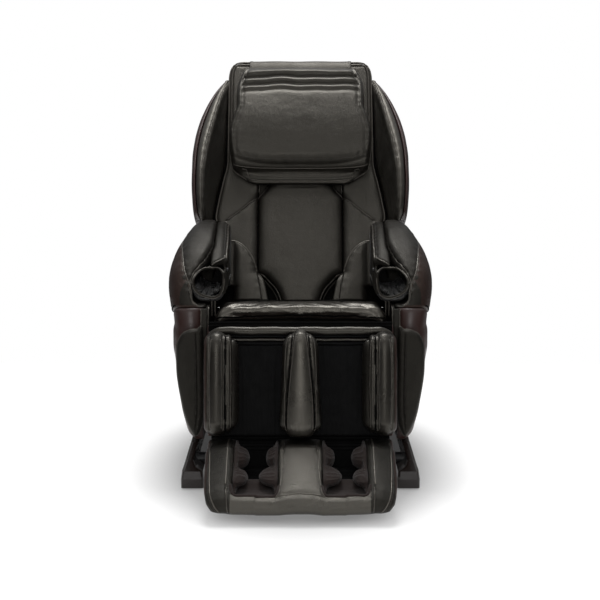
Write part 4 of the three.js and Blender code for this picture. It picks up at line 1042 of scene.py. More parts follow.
def wings():
    f = cols(WZ)
    rows = np.linspace(262, 764, 168)
    pads, shells, crest, rimline = [], [], [], []
    for s in rows:
        i, c, o, cy, ry = (float(g(s)) for g in f)
        m = 0.42 * (o - c)  # the plastic rim's width, seen from the front
        w = c - i
        pad = [
            (i, ry),
            (i, -4),
            (i + 0.10 * w, cy * 0.20),
            (i + 0.34 * w, cy * 0.36),
            (i + 0.62 * w, cy * 0.60),
            (c - 0.16 * w, cy * 0.88),
            (c - 1.0, cy * 0.985),
            (c + 0.10 * (o - c), cy * 1.0),
            (c + 0.30 * (o - c), cy * 0.97),
            (o - m - 0.10 * (o - c), cy * 0.90),
            (o - m - 0.5, cy * 0.80),
            (o - m - 0.5, cy * 0.45),
            (o - m - 0.5, 0),
            (o - m - 2, ry),
        ]
        pads.append([(a, b, s) for a, b in even(chaikin(pad, 2), 84)])
        crest.append((c - 2.0, cy * 0.975, s))
        shell = [
            (o - m + 0.4, cy * 0.74),
            (o - m + 2.0, cy * 0.84),
            (o - 0.62 * m, cy * 0.83),
            (o - 0.25 * m, cy * 0.66),
            (o + 0.2, cy * 0.40),
            (o + 0.6, cy * 0.12),
            (o + 0.4, 0),
            (o - 1.0, ry * 0.7),
            (o - 5.0, ry + 1),
            (o - 12, ry + 6),
            (i + 6, ry + 8),
            (i + 2, ry + 7),
            (i + 2, ry + 1.4),
            (o - m - 1, ry + 1.4),
            (o - m + 0.8, ry - 8),
            (o - m + 0.6, 0),
        ]
        shells.append([(a, b, s) for a, b in even(chaikin(shell, 1), 72)])
        rimline.append((o - 3.2, cy * 0.63, s))

    def close(R):
        """Rounds the ends."""
        R = A(R)
        out = [R[0]]
        m0, m1 = R[0].mean(0), R[-1].mean(0)
        pre = [m0 + (R[0] - m0) * q - A([0, 0, dz]) for q, dz in ((0.55, 5), (0.84, 3.4), (0.96, 1.4))]
        post = [m1 + (R[-1] - m1) * q + A([0, 0, dz]) for q, dz in ((0.95, 2), (0.82, 4.4), (0.5, 6))]
        return [*pre, *R, *post]

    V, Q, T = rings(close(pads))
    V = relax(V, Q, 2, 0.4)
    Q, T = outward(V, Q, T)
    line = curve(crest, 3)
    d, t = near(V, line)
    N = normals(V, [Q, T])
    V = V - N * (2.2 * gauss(d, 2.6))[:, None] + N * (1.6 * gauss(d - 11, 8))[:, None]
    V = V + N * (0.9 * vnoise(V, (50, 50, 70), 31) + 0.5 * np.sin(t / 5.1) * gauss(d, 12))[:, None]
    V = clear_arms(V)
    skin = Skin(V, Q)
    P, NP = skin.lay(line[4:-4], -0.2)
    pad = Piece().add(back(V), Q, T, 0)
    V2, Q2, T2 = tube(back(P), 1.3, 7)
    pad.add(V2, Q2, T2, 1)
    for side in (5.0, -5.0):
        V2, Q2, T2 = stitches(P, NP, side=side)
        pad.add(back(V2), Q2, T2, 2)
    V, Q, T = rings(close(shells))
    Q, T = outward(V, Q, T)
    V = clear_arms(V)
    shell = Piece().add(back(V), Q, T, 0)
    for side, p, sh in (("left", pad, shell), ("right", pad.mirrored(), shell.mirrored())):
        p.make(side + "_wing_leather", [LEATHER_WING, PIPING, THREAD], "back", [side + "_wing_pad"], "leather", fill=0.8)
        sh.make(side + "_wing_rim", [SHELL], "back", [side + "_wing_shell"], "brown_shell")




def strap():
    """Flat strap that carries the pillow over the top of the back."""
    path = curve([(0, -24, 775), (0, -25, 800), (0, -20, 820), (0, -8, 831), (0, 8, 834.5), (0, 24, 830), (0, 36, 818), (0, 41, 795), (0, 41, 760)], 2.5)[:, 1:]
    T = np.gradient(path, axis=0)
    T /= np.linalg.norm(T, axis=1, keepdims=True)
    N = np.stack([T[:, 1], -T[:, 0]], 1)
    if N[0, 0] > 0:
        N = -N
    xs = np.concatenate([np.linspace(-163, 163, 110)])
    R = []
    for p, n in zip(path, N):
        top = [(x, *(p + n * (1.0 + 0.5 * math.sin(x / 21.0 + p[0] / 9.0) + 0.8 * math.exp(-(((abs(x) - 157) / 3.0) ** 2))))) for x in xs]
        low = [(x, *(p - n * 1.0)) for x in xs[::-1]]
        R.append(top + low)
    V, Q, T2 = rings(R)
    Q, T2 = outward(V, Q, T2)
    out = Piece().add(back(V), Q, T2, 0)
    for x in (-156, 156):
        L = A([(x, *(p + n * 1.9)) for p, n in zip(path, N)])
        NN = A([(0, *n) for n in N])
        V2, Q2, T3 = stitches(L, NN)
        out.add(back(V2), Q2, T3, 1)
    g = out.make("pillow_strap", [LEATHER, THREAD])
    width, length = 0.326, float(np.linalg.norm(np.diff(path, axis=0), axis=1).sum()) / 1000
    a, b = back(A([0.0, 30.0, 826.0])), back(A([0.0, -24.0, 790.0]))
    a[1] += YS
    b[1] += YS
    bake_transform(g)
    return length


RW = cols([[20, 203, 168], [52, 203, 168], [72, 230, 170], [110, 252, 172], [285, 255, 180], [304, 268, 180], [336, 286, 180], [450, 290, 180], [600, 284, 174], [700, 262, 164], [760, 236, 152], [795, 205, 138], [812, 160, 124]])


def rear_shell():
    """Moulded cover round the mechanism: a raised middle field with louvres and a parting line."""
    def bowl(X, Y, S, inset, front):
        w, d = RW[0](S) - inset, RW[1](S) - inset
        low = step(300, 280, S)
        a, b = 4.0 + 6.0 * low, 3.33 + 1.1 * low
        F = (np.abs(X) / w) ** a + (np.clip(Y - front, 0, None) / (d - front)) ** b - 1
        G = np.gradient(F, 4.0)
        return np.clip(F / (np.sqrt(G[0] ** 2 + G[1] ** 2 + G[2] ** 2) + 1e-6), -40, 40)

    def field(X, Y, S):
        f = np.where(S > 786.5, 48.0, 90.4)
        D = smax(bowl(X, Y, S, 1.6, 48.0), f - Y, 3)
        return smax(D, slab(S, 52.6, 811.4), 9)

    V, Q = nets(field, (-300, 40, 44), (300, 190, 820), 4.0)
    V = relax(V, Q, 6, 0.5, -0.52)
    # open at the front and below, with a wall 4 mm thick
    C = V[Q].mean(1)
    FN = np.cross(V[Q[:, 2]] - V[Q[:, 0]], V[Q[:, 3]] - V[Q[:, 1]])
    FN /= np.linalg.norm(FN, axis=1, keepdims=True) + 1e-9
    cut = ((FN[:, 1] < -0.6) & (C[:, 1] > 80) & (C[:, 2] < 784)) | ((FN[:, 2] < -0.8) & (C[:, 2] < 57))
    Q = Q[~cut]
    used = np.unique(Q)
    index = np.zeros(len(V), int)
    index[used] = np.arange(len(used))
    V, Q = V[used], index[Q]
    N = normals(V, Q)
    inner = V - 4.0 * N
    E = np.concatenate([Q[:, [k, (k + 1) % 4]] for k in range(4)])
    seen = {(int(i), int(j)) for i, j in E}
    rim = A([(j, i, i + len(V), j + len(V)) for i, j in seen if (j, i) not in seen], int)
    x, s = V[:, 0], V[:, 2]
    face = step(0.35, 0.75, N[:, 1]) * step(140, 150, V[:, 1])
    e = rbox(x, s, -168, 168, 250, 690, 60)
    disp = face * (1.3 * step(6, -6, e) - 2.0 * gauss(e, 4.5))
    for k in range(7):
        disp -= face * 2.2 * gauss(s - (292 + 15 * k), 3.6) * step(104, 96, np.abs(x))
    disp -= step(0.0, 0.3, N[:, 1]) * 1.6 * gauss(s - 742, 4.2)
    V = V + N * disp[:, None]
    shell = np.concatenate([V, inner])
    out = Piece().add(back(shell), np.concatenate([Q, Q[:, ::-1] + len(V), rim]), None, 0)
    # screws that hold the middle field
    for sx in (-1, 1):
        for s0 in (268, 470, 672):
            y0 = float(V[np.argmin((x - sx * 146) ** 2 + (s - s0) ** 2 - 400 * (V[:, 1] > 140)), 1])
            a = np.linspace(0, 2 * np.pi, 20, endpoint=False)
            R = [[(sx * 146 + r * math.cos(b), y0 + q, s0 + r * math.sin(b)) for b in a] for q, r in ((-1.5, 5.2), (0.6, 5.2), (1.2, 4.2), (1.3, 2.2), (0.3, 1.9), (0.2, 0.5))]
            V2, Q2, T2 = rings(R)
            Q2, T2 = outward(V2, Q2, T2)
            out.add(back(V2), Q2, T2, 1)
    out.make("rear_cover_shell", [SHELL, BLACK], "back", ["rear_cover"], "brown_shell")


def rbox(X, Z, x0, x1, z0, z1, r):
    qx = np.abs(X - (x0 + x1) / 2) - ((x1 - x0) / 2 - r)
    qz = np.abs(Z - (z0 + z1) / 2) - ((z1 - z0) / 2 - r)
    return np.hypot(np.maximum(qx, 0), np.maximum(qz, 0)) + np.minimum(np.maximum(qx, qz), 0) - r


back_upholstery()
rear_shell()
pillow()
wings()
strap()


# ================================================================== seat body: arms and sides
SIDE = [
    [122, 300, -232, -170], [145, 318, -250, -100], [170, 327, -258, -10], [208, 339, -262, 120],
    [255, 347, -262, 262], [300, 354, -262, 360], [345, 361, -262, 410], [384, 367, -262, 436],
    [420, 367, -262, 446], [442, 363, -262, 448], [470, 366, -256, 446], [500, 373, -245, 438],
    [530, 377, -232, 426], [560, 378, -214, 408], [590, 375, -192, 388], [615, 367, -165, 364],
    [645, 353, -124, 322], [673, 335, -70, 262], [692, 318, -22, 215], [706, 296, 40, 190],
]
SX, SF, SR = cols(SIDE)
SPLIT = cols([[-700, 515], [-262, 501], [-235, 495], [-200, 484], [-160, 472], [-110, 461], [-50, 453], [20, 450], [100, 453], [180, 463], [250, 477], [320, 496], [380, 518], [440, 545], [900, 700]])[0]
ROOF = cols([[-260, 566], [-200, 572], [-150, 592], [-80, 612], [0, 625], [140, 634]])[0]
HOOD_IN = cols([[-262, 300], [-205, 300], [-170, 284], [-120, 264], [-60, 251], [40, 251.5], [200, 258], [300, 262]])[0]
FLAP_TOP = cols([[-196, 578], [-170, 600], [-120, 630], [-60, 660], [0, 681], [80, 698], [260, 702]])[0]


def unit(F, h, most=60.0):
    """Turns a field into a distance near its surface."""
    G = np.gradient(F, h)
    return np.clip(F / (np.sqrt(G[0] ** 2 + G[1] ** 2 + G[2] ** 2) + 1e-6), -most, most)


def side_field(X, Y, Z, xin, inset=0.0):
    z = np.clip(Z, 122, 706)
    xo, f, r = SX(z) - inset, SF(z) + inset, SR(z) - inset
    u = np.clip((X - xin) / (xo - xin), 0, None)
    v = np.abs(2 * (Y - (f + r) / 2) / (r - f))
    return u**6.25 + v**3.226 - 1


def wing_cut(Y, Z, r=283.0):
    return np.maximum(np.maximum(165 - Y, 430 - Z), r - np.hypot(Y - 185, Z - 415))


def back_cut(Y, Z, gap=17.0):
    """Below 0 in the space that the backrest's front sweeps."""
    return -((Y - 123) * C27 - (Z - 446) * S27 + gap)


def arm_field(X, Y, Z):
    D = unit(side_field(X, Y, Z, 255), 3.0)
    D = smax(D, 263.4 + (HOOD_IN(Y) - 263.4) * step(540, 566, Z) - X, 16)
    D = smax(D, Z - 706, 14)
    D = smax(D, SPLIT(Y) + 1.2 - Z, 7)
    tun = np.maximum(rbox(X, Z, 180, 304, 503, ROOF(np.clip(Y, -260, 140)), 22), Y - 139)
    D = smax(D, -tun, 9)
    return smax(D, -wing_cut(Y, Z), 6)


def pucker(t, seed=0):
    return np.sin(t / 4.6 + 1.7 * np.sin(t / 23.0 + seed) + seed)


def arms():
    V, Q = nets(arm_field, (240, -262, 438), (386, 452, 716), 3.0)
    V = relax(V, Q, 5, 0.5, -0.52)
    N = normals(V, Q)
    # the stitched seam down the outer front, then round the mouth of the forearm tunnel
    main = curve([(322, 215, 652), (335, 120, 664), (343, 20, 664), (346, -50, 656), (339, -99, 644), (332, -148, 621), (326, -182, 596), (317, -200, 576), (308, -214, 558), (296, -226, 530), (284, -236, 506)], 3)
    hood = curve([(256, 120, 694), (252, 60, 688), (251, -20, 668), (254, -80, 647), (266, -132, 622), (283, -166, 606), (297, -186, 590), (309, -206, 566), (309, -220, 545), (301, -232, 524), (290, -240, 508)], 3)
    d1, t1 = near(V, main)
    d2, t2 = near(V, hood)
    top = step(560, 600, V[:, 2])
    disp = 2.6 * (1 - np.exp(-np.minimum(d1, d2) / 22))
    disp -= 2.2 * gauss(d1, 3.0) + 2.6 * gauss(d2, 3.2)
    disp += 0.9 * pucker(t1) * gauss(d1, 13) * step(2, 6, d1) + 0.8 * pucker(t2, 2) * gauss(d2, 10)
    disp += 1.6 * fbm(V, (90, 120, 90), 41, 2) + 0.6 * fbm(V, (28, 34, 28), 43, 2)
    ridge = 1 - np.abs(vnoise(V, (40, 70, 22), 47))
    disp += 0.8 * np.clip(ridge - 0.75, 0, 1) / 0.25 * (1 - top)
    inner = step(256, 250, V[:, 0])
    low = step(12, 2, V[:, 2] - SPLIT(V[:, 1]))
    disp = np.where(disp > 0, disp * (1 - inner) * (1 - low), disp)
    V = V + N * disp[:, None]
    near_wing = np.hypot(V[:, 1] - 185, V[:, 2] - 415)
    far = (near_wing > 283.2) & (V[:, 1] > 165) & (V[:, 2] > 430)
    V[far, 1:] = A([185, 415]) + (V[far, 1:] - A([185, 415])) * (283.2 / near_wing[far])[:, None]
    skin = Skin(V, Q)
    arm = Piece().add(V, Q, None, 0)
    # the outer panel, below the seam, is brown hide
    seam = main[np.argsort(main[:, 1])]
    mid = V[Q].mean(1)
    zs, xs = np.interp(mid[:, 1], seam[:, 1], seam[:, 2]), np.interp(mid[:, 1], seam[:, 1], seam[:, 0])
    arm.qm[0] = np.where((mid[:, 2] < zs) & (mid[:, 0] > xs - 1.5), 4, 0)
    P, NP = skin.lay(main, 0.0)
    V2, Q2, T2 = tube(P - NP * 0.3, 2.2, 7)
    arm.add(V2, Q2, T2, 1)
    for s in (-5.2, 5.2):
        arm.add(*stitches(P + NP * 0.3, NP, side=s), 2)
    P, NP = skin.lay(hood, 0.0)
    arm.add(*stitches(P + NP * 0.3, NP, side=-5.0), 2)
    V2, Q2, T2 = tube(P - NP * 0.2, 1.9, 7)
    arm.add(V2, Q2, T2, 1)
    # welt where the leather meets the plastic side, in the seam shadow: a painted dark line
    ys = np.linspace(-236, 400, 200)
    line = [(SX(SPLIT(y)), y, SPLIT(y) + 4.0) for y in ys]
    P, NP = skin.lay(A(line), -0.4)
    V2, Q2, T2 = tube(P, 2.4, 7)
    arm.add(V2, Q2, T2, 3)
    # rounded rim of the mouth, with its piping
    rim = curve([(247, -156, 598), (268, -160, 598), (286, -176, 589), (299, -200, 572), (297, -207, 551), (286, -211, 537), (268, -212, 528), (247, -212, 523.5), (228, -211, 529), (218, -208, 548), (215.5, -204, 568), (218, -192, 590), (230, -168, 598)], 3, closed=True)
    V2, Q2, T2 = tube(rim, 3.6, 11, closed=True)
    arm.add(V2, Q2, T2, 0)
    out = rim - rim.mean(0)
    out[:, 1] = 0
    out /= np.linalg.norm(out, axis=1, keepdims=True)
    V2, Q2, T2 = tube(rim + out * 2.8 + A([0, -2.8, 0]), 1.3, 7, closed=True)
    arm.add(V2, Q2, T2, 1)

    # inner flap: padded wall with a lip over the forearm
    def flap_field(X, Y, Z):
        y = np.clip(Y, -196, 262)
        t = FLAP_TOP(y) - 3.0
        r = np.minimum(ROOF(np.clip(y, -260, 140)) + 2, t - 14)
        x0 = 209 + 9 * step(-60, 220, Y)
        x1 = np.minimum(HOOD_IN(Y) - 2.0, 255)
        wall = smax(slab(X, x0, x0 + 10.5), slab(Z, 536, t - 14), 5)
        lip = smax(slab(X, x0, x1), slab(Z, r, t), 11)
        lip = smax(lip, (Z - t) + (x0 + 17 - X) * 0.9, 9)
        D = smin(wall, lip, 10)
        D = smax(D, (-119 - (X - 209) * 0.66 - Y) / 1.2, 9)
        low = smax(smax(slab(X, 210.5, 218.5), slab(Z, 530, 594), 4), slab(Y, -206, -60), 4)
        D = smin(D, low, 4)
        D = smax(D, -back_cut(Y, Z, 16.8), 5)
        return smax(D, -wing_cut(Y, Z), 4)

    V, Q = nets(flap_field, (203, -212, 524), (268, 272, 712), 2.6)
    V = relax(V, Q, 5, 0.5, -0.52)
    N = normals(V, Q)
    ys = np.linspace(-112, 205, 130)
    edge = [(212.5 + 9 * step(-60, 220, y), y, FLAP_TOP(y) - 15) for y in ys]
    d, t = near(V, A(edge))
    up = step(0.2, 0.8, N[:, 2])
    V = V + N * ((1.6 * up * np.sin(np.clip((V[:, 0] - 212) / 48, 0, 1) * np.pi)) + 0.6 * pucker(t, 1) * gauss(d, 12) + 0.6 * vnoise(V, (30, 60, 30), 51))[:, None]
    V[:, 0] = np.minimum(V[:, 0], np.minimum(HOOD_IN(V[:, 1]) - 1.2, 256))
    skin = Skin(V, Q)
    flap = Piece().add(V, Q, None, 0)
    P, NP = skin.lay(A(edge), 0.2)
    V2, Q2, T2 = tube(P, 2.3, 8)
    flap.add(V2, Q2, T2, 1)
    P, NP = skin.lay(A([(x + 7, y, z + 6) for x, y, z in edge]), 0.3)
    flap.add(*stitches(P, NP), 2)
    # welt along the slanting front edge, and the press stud
    front = curve([(211, -108, 634), (214, -120, 626), (226, -131, 619), (240, -141, 613), (252, -149, 606)], 3)
    P, NP = skin.lay(front, 0.3)
    V2, Q2, T2 = tube(P, 2.0, 8)
    flap.add(V2, Q2, T2, 1)
    a = np.linspace(0, 2 * np.pi, 24, endpoint=False)
    stud = [[(209.5 - q, -118 + r * math.cos(b), 588 + r * math.sin(b)) for b in a] for q, r in ((-2, 7.5), (2.5, 7.5), (4.2, 6.2), (4.8, 4.0), (4.1, 3.0), (4.0, 0.8))]
    V2, Q2, T2 = rings(stud)
    Q2, T2 = outward(V2, Q2, T2)
    flap.add(V2, Q2, T2, 3)

    # cup: bunched stretch cloth under the forearm
    def cup_field(X, Y, Z):
        e = 2 + 2 * (Y + 206) / 344
        cx, half = 256.0, 46.2
        u = np.clip(np.abs(X - cx) / half, 0, 1.2)
        floor = 508.6 + e + 30 * u**4.2
        D = smax(slab(Z, floor, floor + 6.5 + 4 * u**6), slab(X, 210, 302.4), 3)
        D = smax(D, Z - 551, 4)
        D = smax(D, slab(Y, -206, 138), 3)
        return smax(D, -back_cut(Y, Z, 16.6), 4)

    V, Q = nets(cup_field, (204, -212, 502), (308, 144, 558), 2.8)
    V = relax(V, Q, 3, 0.5, -0.52)
    N = normals(V, Q)
    w = 1 - np.abs(vnoise(V + A([0, 0, 0]), (13, 44, 20), 61))
    w2 = 1 - np.abs(vnoise(V, (24, 18, 18), 63))
    inside = step(0.0, 0.6, N[:, 2])
    V = V + N * (inside * (3.2 * np.clip(w - 0.55, 0, 1) + 2.4 * np.clip(w2 - 0.6, 0, 1) - 0.4))[:, None]
    V[:, 0] = np.clip(V[:, 0], 210, 302.6)
    cup = Piece().add(V, Q, None, 0)
    # bunched cloth hanging inside the mouth
    for k in range(7):
        x0 = 226 + 11.5 * k
        base = 1.0 + 0.6 * math.sin(k * 2.3)
        L = curve([(x0, -184 + 3 * math.sin(k), 520 + 7 * abs(k - 3) ** 1.1), (x0 + 3 * math.sin(k * 1.7), -150, 522 + 5 * abs(k - 3)), (x0 - 2, -90, 524 + 4 * abs(k - 3)), (x0, -30, 526 + 3 * abs(k - 3))], 6)
        r = 5.2 * base * np.sin(np.linspace(0.35, np.pi - 0.2, len(L))) ** 0.7 + 0.8
        V2, Q2, T2 = tube(L, r, 9)
        cup.add(V2, Q2, T2, 0)
    # lining that closes the far end
    far = [(-24.0, 60), (-18.4, 60), (-18.4, 230), (-24.0, 230)]
    V2, Q2, T2 = rings([[back(A([x, a, b])) for a, b in far] for x in np.linspace(213, 303, 12)])
    Q2, T2 = outward(V2, Q2, T2)
    cup.add(V2, Q2, T2, 0)
    for x in (238.5, 247.5):
        L = curve([(x, -208, 512), (x + 0.3, -209, 497), (x, -209.5, 482), (x + 0.2, -209, 470)], 3)
        V2, Q2, T2 = tube(L, 2.0, 7)
        cup.add(V2, Q2, T2, 1)

    # inner side panel beside the seat, with its welt
    outline = [(-254, 382), (-254, 440), (-246, 478), (-232, 499), (-215, 501.5), (100, 501.5), (148, 498), (140, 400), (118, 364), (0, 376), (-200, 378)]

    def panel_field(X, Y, Z):
        D = smax(poly2(Y, Z, outline), slab(X, 256.2, 262.3), 3.0)
        return smax(D, -back_cut(Y, Z, 16.6), 2)

    V, Q = nets(panel_field, (251, -260, 358), (266, 156, 506), 2.4)
    V = relax(V, Q, 3, 0.5, -0.52)
    N = normals(V, Q)
    face = step(-0.3, -0.9, N[:, 0])
    V[:, 0] -= face * (1.5 * np.clip(-poly2(V[:, 1], V[:, 2], outline) / 14, 0, 1) + 0.7 * vnoise(V, (30, 46, 30), 71))
    panel = Piece().add(V, Q, None, 0)
    skin = Skin(V, Q)
    P, NP = skin.lay(curve([(255, -251, 386), (255, -251, 440), (255, -243, 477), (255, -229, 496), (255, -190, 498.5), (255, 90, 498.5)], 3), 0.4)
    V2, Q2, T2 = tube(P, 1.9, 7)
    panel.add(V2, Q2, T2, 1)
    # a strip in the seam shadow let in between the panel and the cushion: painted shade
    R = []
    for y in np.linspace(-212, 116, 40):
        z = 447 - 5 * math.sin((y + 212) / 104) - 8 * float(step(40, 116, y))
        R.append([(233, y, z), (258, y, z + 3), (258, y, z + 7), (233, y, z + 3)])
    V2, Q2, T2 = rings(R)
    Q2, T2 = outward(V2, Q2, T2)
    panel.add(V2, Q2, T2, 2)
    # its front border, turned outwards over the edge of the side
    strip = [(256.5, 386), (276, 386), (277, 440), (277, 486), (280, 499), (256.5, 499)]

    def strip_field(X, Y, Z):
        f = SF(Z) - 0.5
        return smax(poly2(X, Z, strip) + 1.0, slab(Y - f, -4.5, -0.6), 3)

    V, Q = nets(strip_field, (252, -274, 380), (284, -236, 504), 2.0)
    V = relax(V, Q, 3, 0.5, -0.52)
    N = normals(V, Q)
    V = V + N * (0.5 * vnoise(V, (20, 20, 34), 73))[:, None]
    panel.add(V, Q, None, 0)
    skin2 = Skin(V, Q)
    P, NP = skin2.lay(curve([(275, -266, 392), (275.5, -266, 440), (275.5, -258, 486), (278, -250, 496)], 2.5), 0.2)
    V2, Q2, T2 = tube(P, 1.5, 7)
    panel.add(V2, Q2, T2, 1)

    # front fin: leather pad on the shell's lower front
    fin_line = curve([(268, 444), (267, 300), (268, 200), (277, 160), (291, 142), (306, 160), (321, 200), (334, 260), (342, 320), (343, 366), (341, 402), (328, 430), (306, 443), (286, 445)], 4, closed=True)

    def fin_field(X, Y, Z):
        p = poly2(X, Z, fin_line)
        return smax(p + 1, slab(Y, -291.5, -263.4), 13)

    V, Q = nets(fin_field, (260, -300, 132), (352, -258, 454), 2.6)
    V = relax(V, Q, 4, 0.5, -0.52)
    N = normals(V, Q)
    fseam = curve([(286, -292, 438), (285, -292, 330), (284.5, -292, 240), (287, -292, 190), (291, -292, 160)], 3)
    d, t = near(V, fseam)
    edge = -poly2(V[:, 0], V[:, 2], fin_line)
    front = step(-0.2, -0.8, N[:, 1])
    disp = front * (2.4 * np.clip(edge / 26, 0, 1) - 2.4 * gauss(d, 2.6) - 1.6 * step(288, 280, V[:, 0]) + 0.6 * pucker(t, 3) * gauss(d, 9))
    disp += 0.9 * fbm(V, (40, 40, 70), 81, 2)
    V = V + N * disp[:, None]
    V[:, 1] = np.minimum(V[:, 1], -263.2)
    fin = Piece().add(V, Q, None, 0)
    skin = Skin(V, Q)
    P, NP = skin.lay(fseam, 0.2)
    for s in (-4.2, 4.2):
        fin.add(*stitches(P, NP, side=s), 2)
    rim = [(x, -280, z) for x, z in fin_line if x > 271]
    P, NP = skin.lay(A(rim), 0.0)
    V2, Q2, T2 = tube(P, 1.7, 7)
    fin.add(V2, Q2, T2, 1)

    # glossy side shell under the arm
    n = 46
    a = -np.pi / 2 + np.pi * np.arange(n + 1) / n
    ca, sa = np.maximum(np.cos(a), 0) ** 0.32, np.sign(np.sin(a)) * np.abs(np.sin(a)) ** 0.62

    def ring(z, inset):
        xo, f, r = SX(z) - inset, SF(z) + inset, SR(z) - inset
        return np.stack([np.maximum(272, 272 + (xo - 272) * ca), (f + r) / 2 + (r - f) / 2 * sa, z + 0 * a], 1)

    zs = np.full(n + 1, 470.0)
    for _ in range(4):
        zs = SPLIT(ring(zs, 0)[:, 1]) - 0.8
    R = []
    for t in np.concatenate([[0, 0.012, 0.02], np.linspace(0.03, 1, 64)]):
        z = 122 + t * (zs - 122)
        inset = 1.2 * max(0.0, (t - 0.985) / 0.015) + (2.2 * (1 - t / 0.02) if t < 0.02 else 0)
        o, i = ring(z, inset), ring(z, 5.0)
        if t < 0.013:
            i = np.stack([np.full(n + 1, 272.0), o[:, 1], z], 1)
        i[:, 1] = np.clip(i[:, 1], o[:, 1].min() + 5, o[:, 1].max() - 5)
        R.append(np.concatenate([o, i[::-1]]))
    V, Q, T = rings(R)
    Q, T = outward(V, Q, T)
    shell = Piece().add(V, Q, T, 0)

    for side, f in (("left", lambda p: p), ("right", lambda p: p.mirrored())):
        f(arm).make(side + "_arm_leather", [LEATHER_ARM, PIPING, THREAD, GROOVE, BROWN_HIDE], "seat", [side + "_arm_cushion"], "leather", fill=0.8)
        f(flap).make(side + "_arm_inner_flap", [LEATHER_ARM, PIPING, THREAD, BLACK], "seat", [side + "_arm_flap"], "leather", fill=0.5)
        f(cup).make(side + "_forearm_lining", [CUP_CLOTH, PIPING], "seat", [side + "_arm_cup"], "lining", fill=0.3)
        # the side panel and the fin wear the darker, duller leather copy: painted shade
        f(panel).make(side + "_seat_side_panel", [LEATHER_DARK, PIPING, GROOVE], "seat", [side + "_inner_panel"], "leather", fill=0.3)
        f(fin).make(side + "_fin_leather", [LEATHER_DARK, PIPING, THREAD], "seat", [side + "_front_fin"], "leather", fill=0.6)
        f(shell).make(side + "_side_cover", [SHELL], "seat", [side + "_side_shell"], "brown_shell")


arms()

# ================================================================== soft-body help


def puffed(V, Q, cap=8.0, pressure=4.0, slack=0.0, frames=20, hold=None):
    """Blows a cover up as cloth, no point moving more than cap mm, then cuts each face in four."""
    me = bpy.data.meshes.new("cover")
    me.from_pydata((V / 1000).tolist(), [], Q.tolist())
    ob = bpy.data.objects.new("cover", me)
    SCENE.collection.objects.link(ob)
    W = V
    c = ob.modifiers.new("cloth", "CLOTH")
    c.settings.quality = 5
    c.settings.mass = 0.3
    c.settings.use_pressure = True
    c.settings.uniform_pressure_force = pressure
    c.settings.effector_weights.gravity = 0
    c.settings.shrink_min = -slack
    c.settings.bending_stiffness = 1.5
    c.point_cache.frame_start, c.point_cache.frame_end = 1, frames
    if hold is not None:
        g = ob.vertex_groups.new(name="hold")
        g.add([int(i) for i in np.nonzero(hold)[0]], 1.0, "REPLACE")
        c.settings.vertex_group_mass = "hold"
    for k in range(1, frames + 1):
        SCENE.frame_set(k)
    ev = ob.evaluated_get(bpy.context.evaluated_depsgraph_get())
    co = np.empty(len(V) * 3, np.float32)
    ev.data.vertices.foreach_get("co", co)
    move = co.reshape(-1, 3).astype(float) * 1000 - V
    far = np.linalg.norm(move, axis=1, keepdims=True)
    W = V + move * np.minimum(1, cap * np.tanh(far / cap) / (far + 1e-9))
    ob.modifiers.remove(c)
    SCENE.frame_set(1)
    me.vertices.foreach_set("co", (W / 1000).astype(np.float32).ravel())
    s = ob.modifiers.new("fine", "SUBSURF")
    s.levels = 1
    ev = ob.evaluated_get(bpy.context.evaluated_depsgraph_get())
    n = len(ev.data.vertices)
    co = np.empty(n * 3, np.float32)
    ev.data.vertices.foreach_get("co", co)
    q = np.empty(len(ev.data.loops), np.int32)
    ev.data.loops.foreach_get("vertex_index", q)
    bpy.data.objects.remove(ob)
    bpy.data.meshes.remove(me)
    return co.reshape(-1, 3).astype(float) * 1000, q.reshape(-1, 4).astype(np.int64)


def folds(V, lines, depth=2.0, width=3.0, puff=1.0):
    """Creases along lines, with the hide standing up on both sides of each."""
    out = np.zeros(len(V))
    for line in lines:
        L = curve(line, 3)
        d, t = near(V, L)
        end = np.sin(np.clip(t / (t.max() + 1e-9), 0, 1) * np.pi) ** 0.6
        out += end * (puff * gauss(d - 2.4 * width, 1.7 * width) - depth * gauss(d, width))
    return out


def both(lines):
    return [*lines, *[[(-x, y, z) for x, y, z in line] for line in lines]]


def welt(piece, P, r, mat=1, seg=7):
    V2, Q2, T2 = tube(P, r, seg)
    piece.add(V2, Q2, T2, mat)


# ================================================================== seat


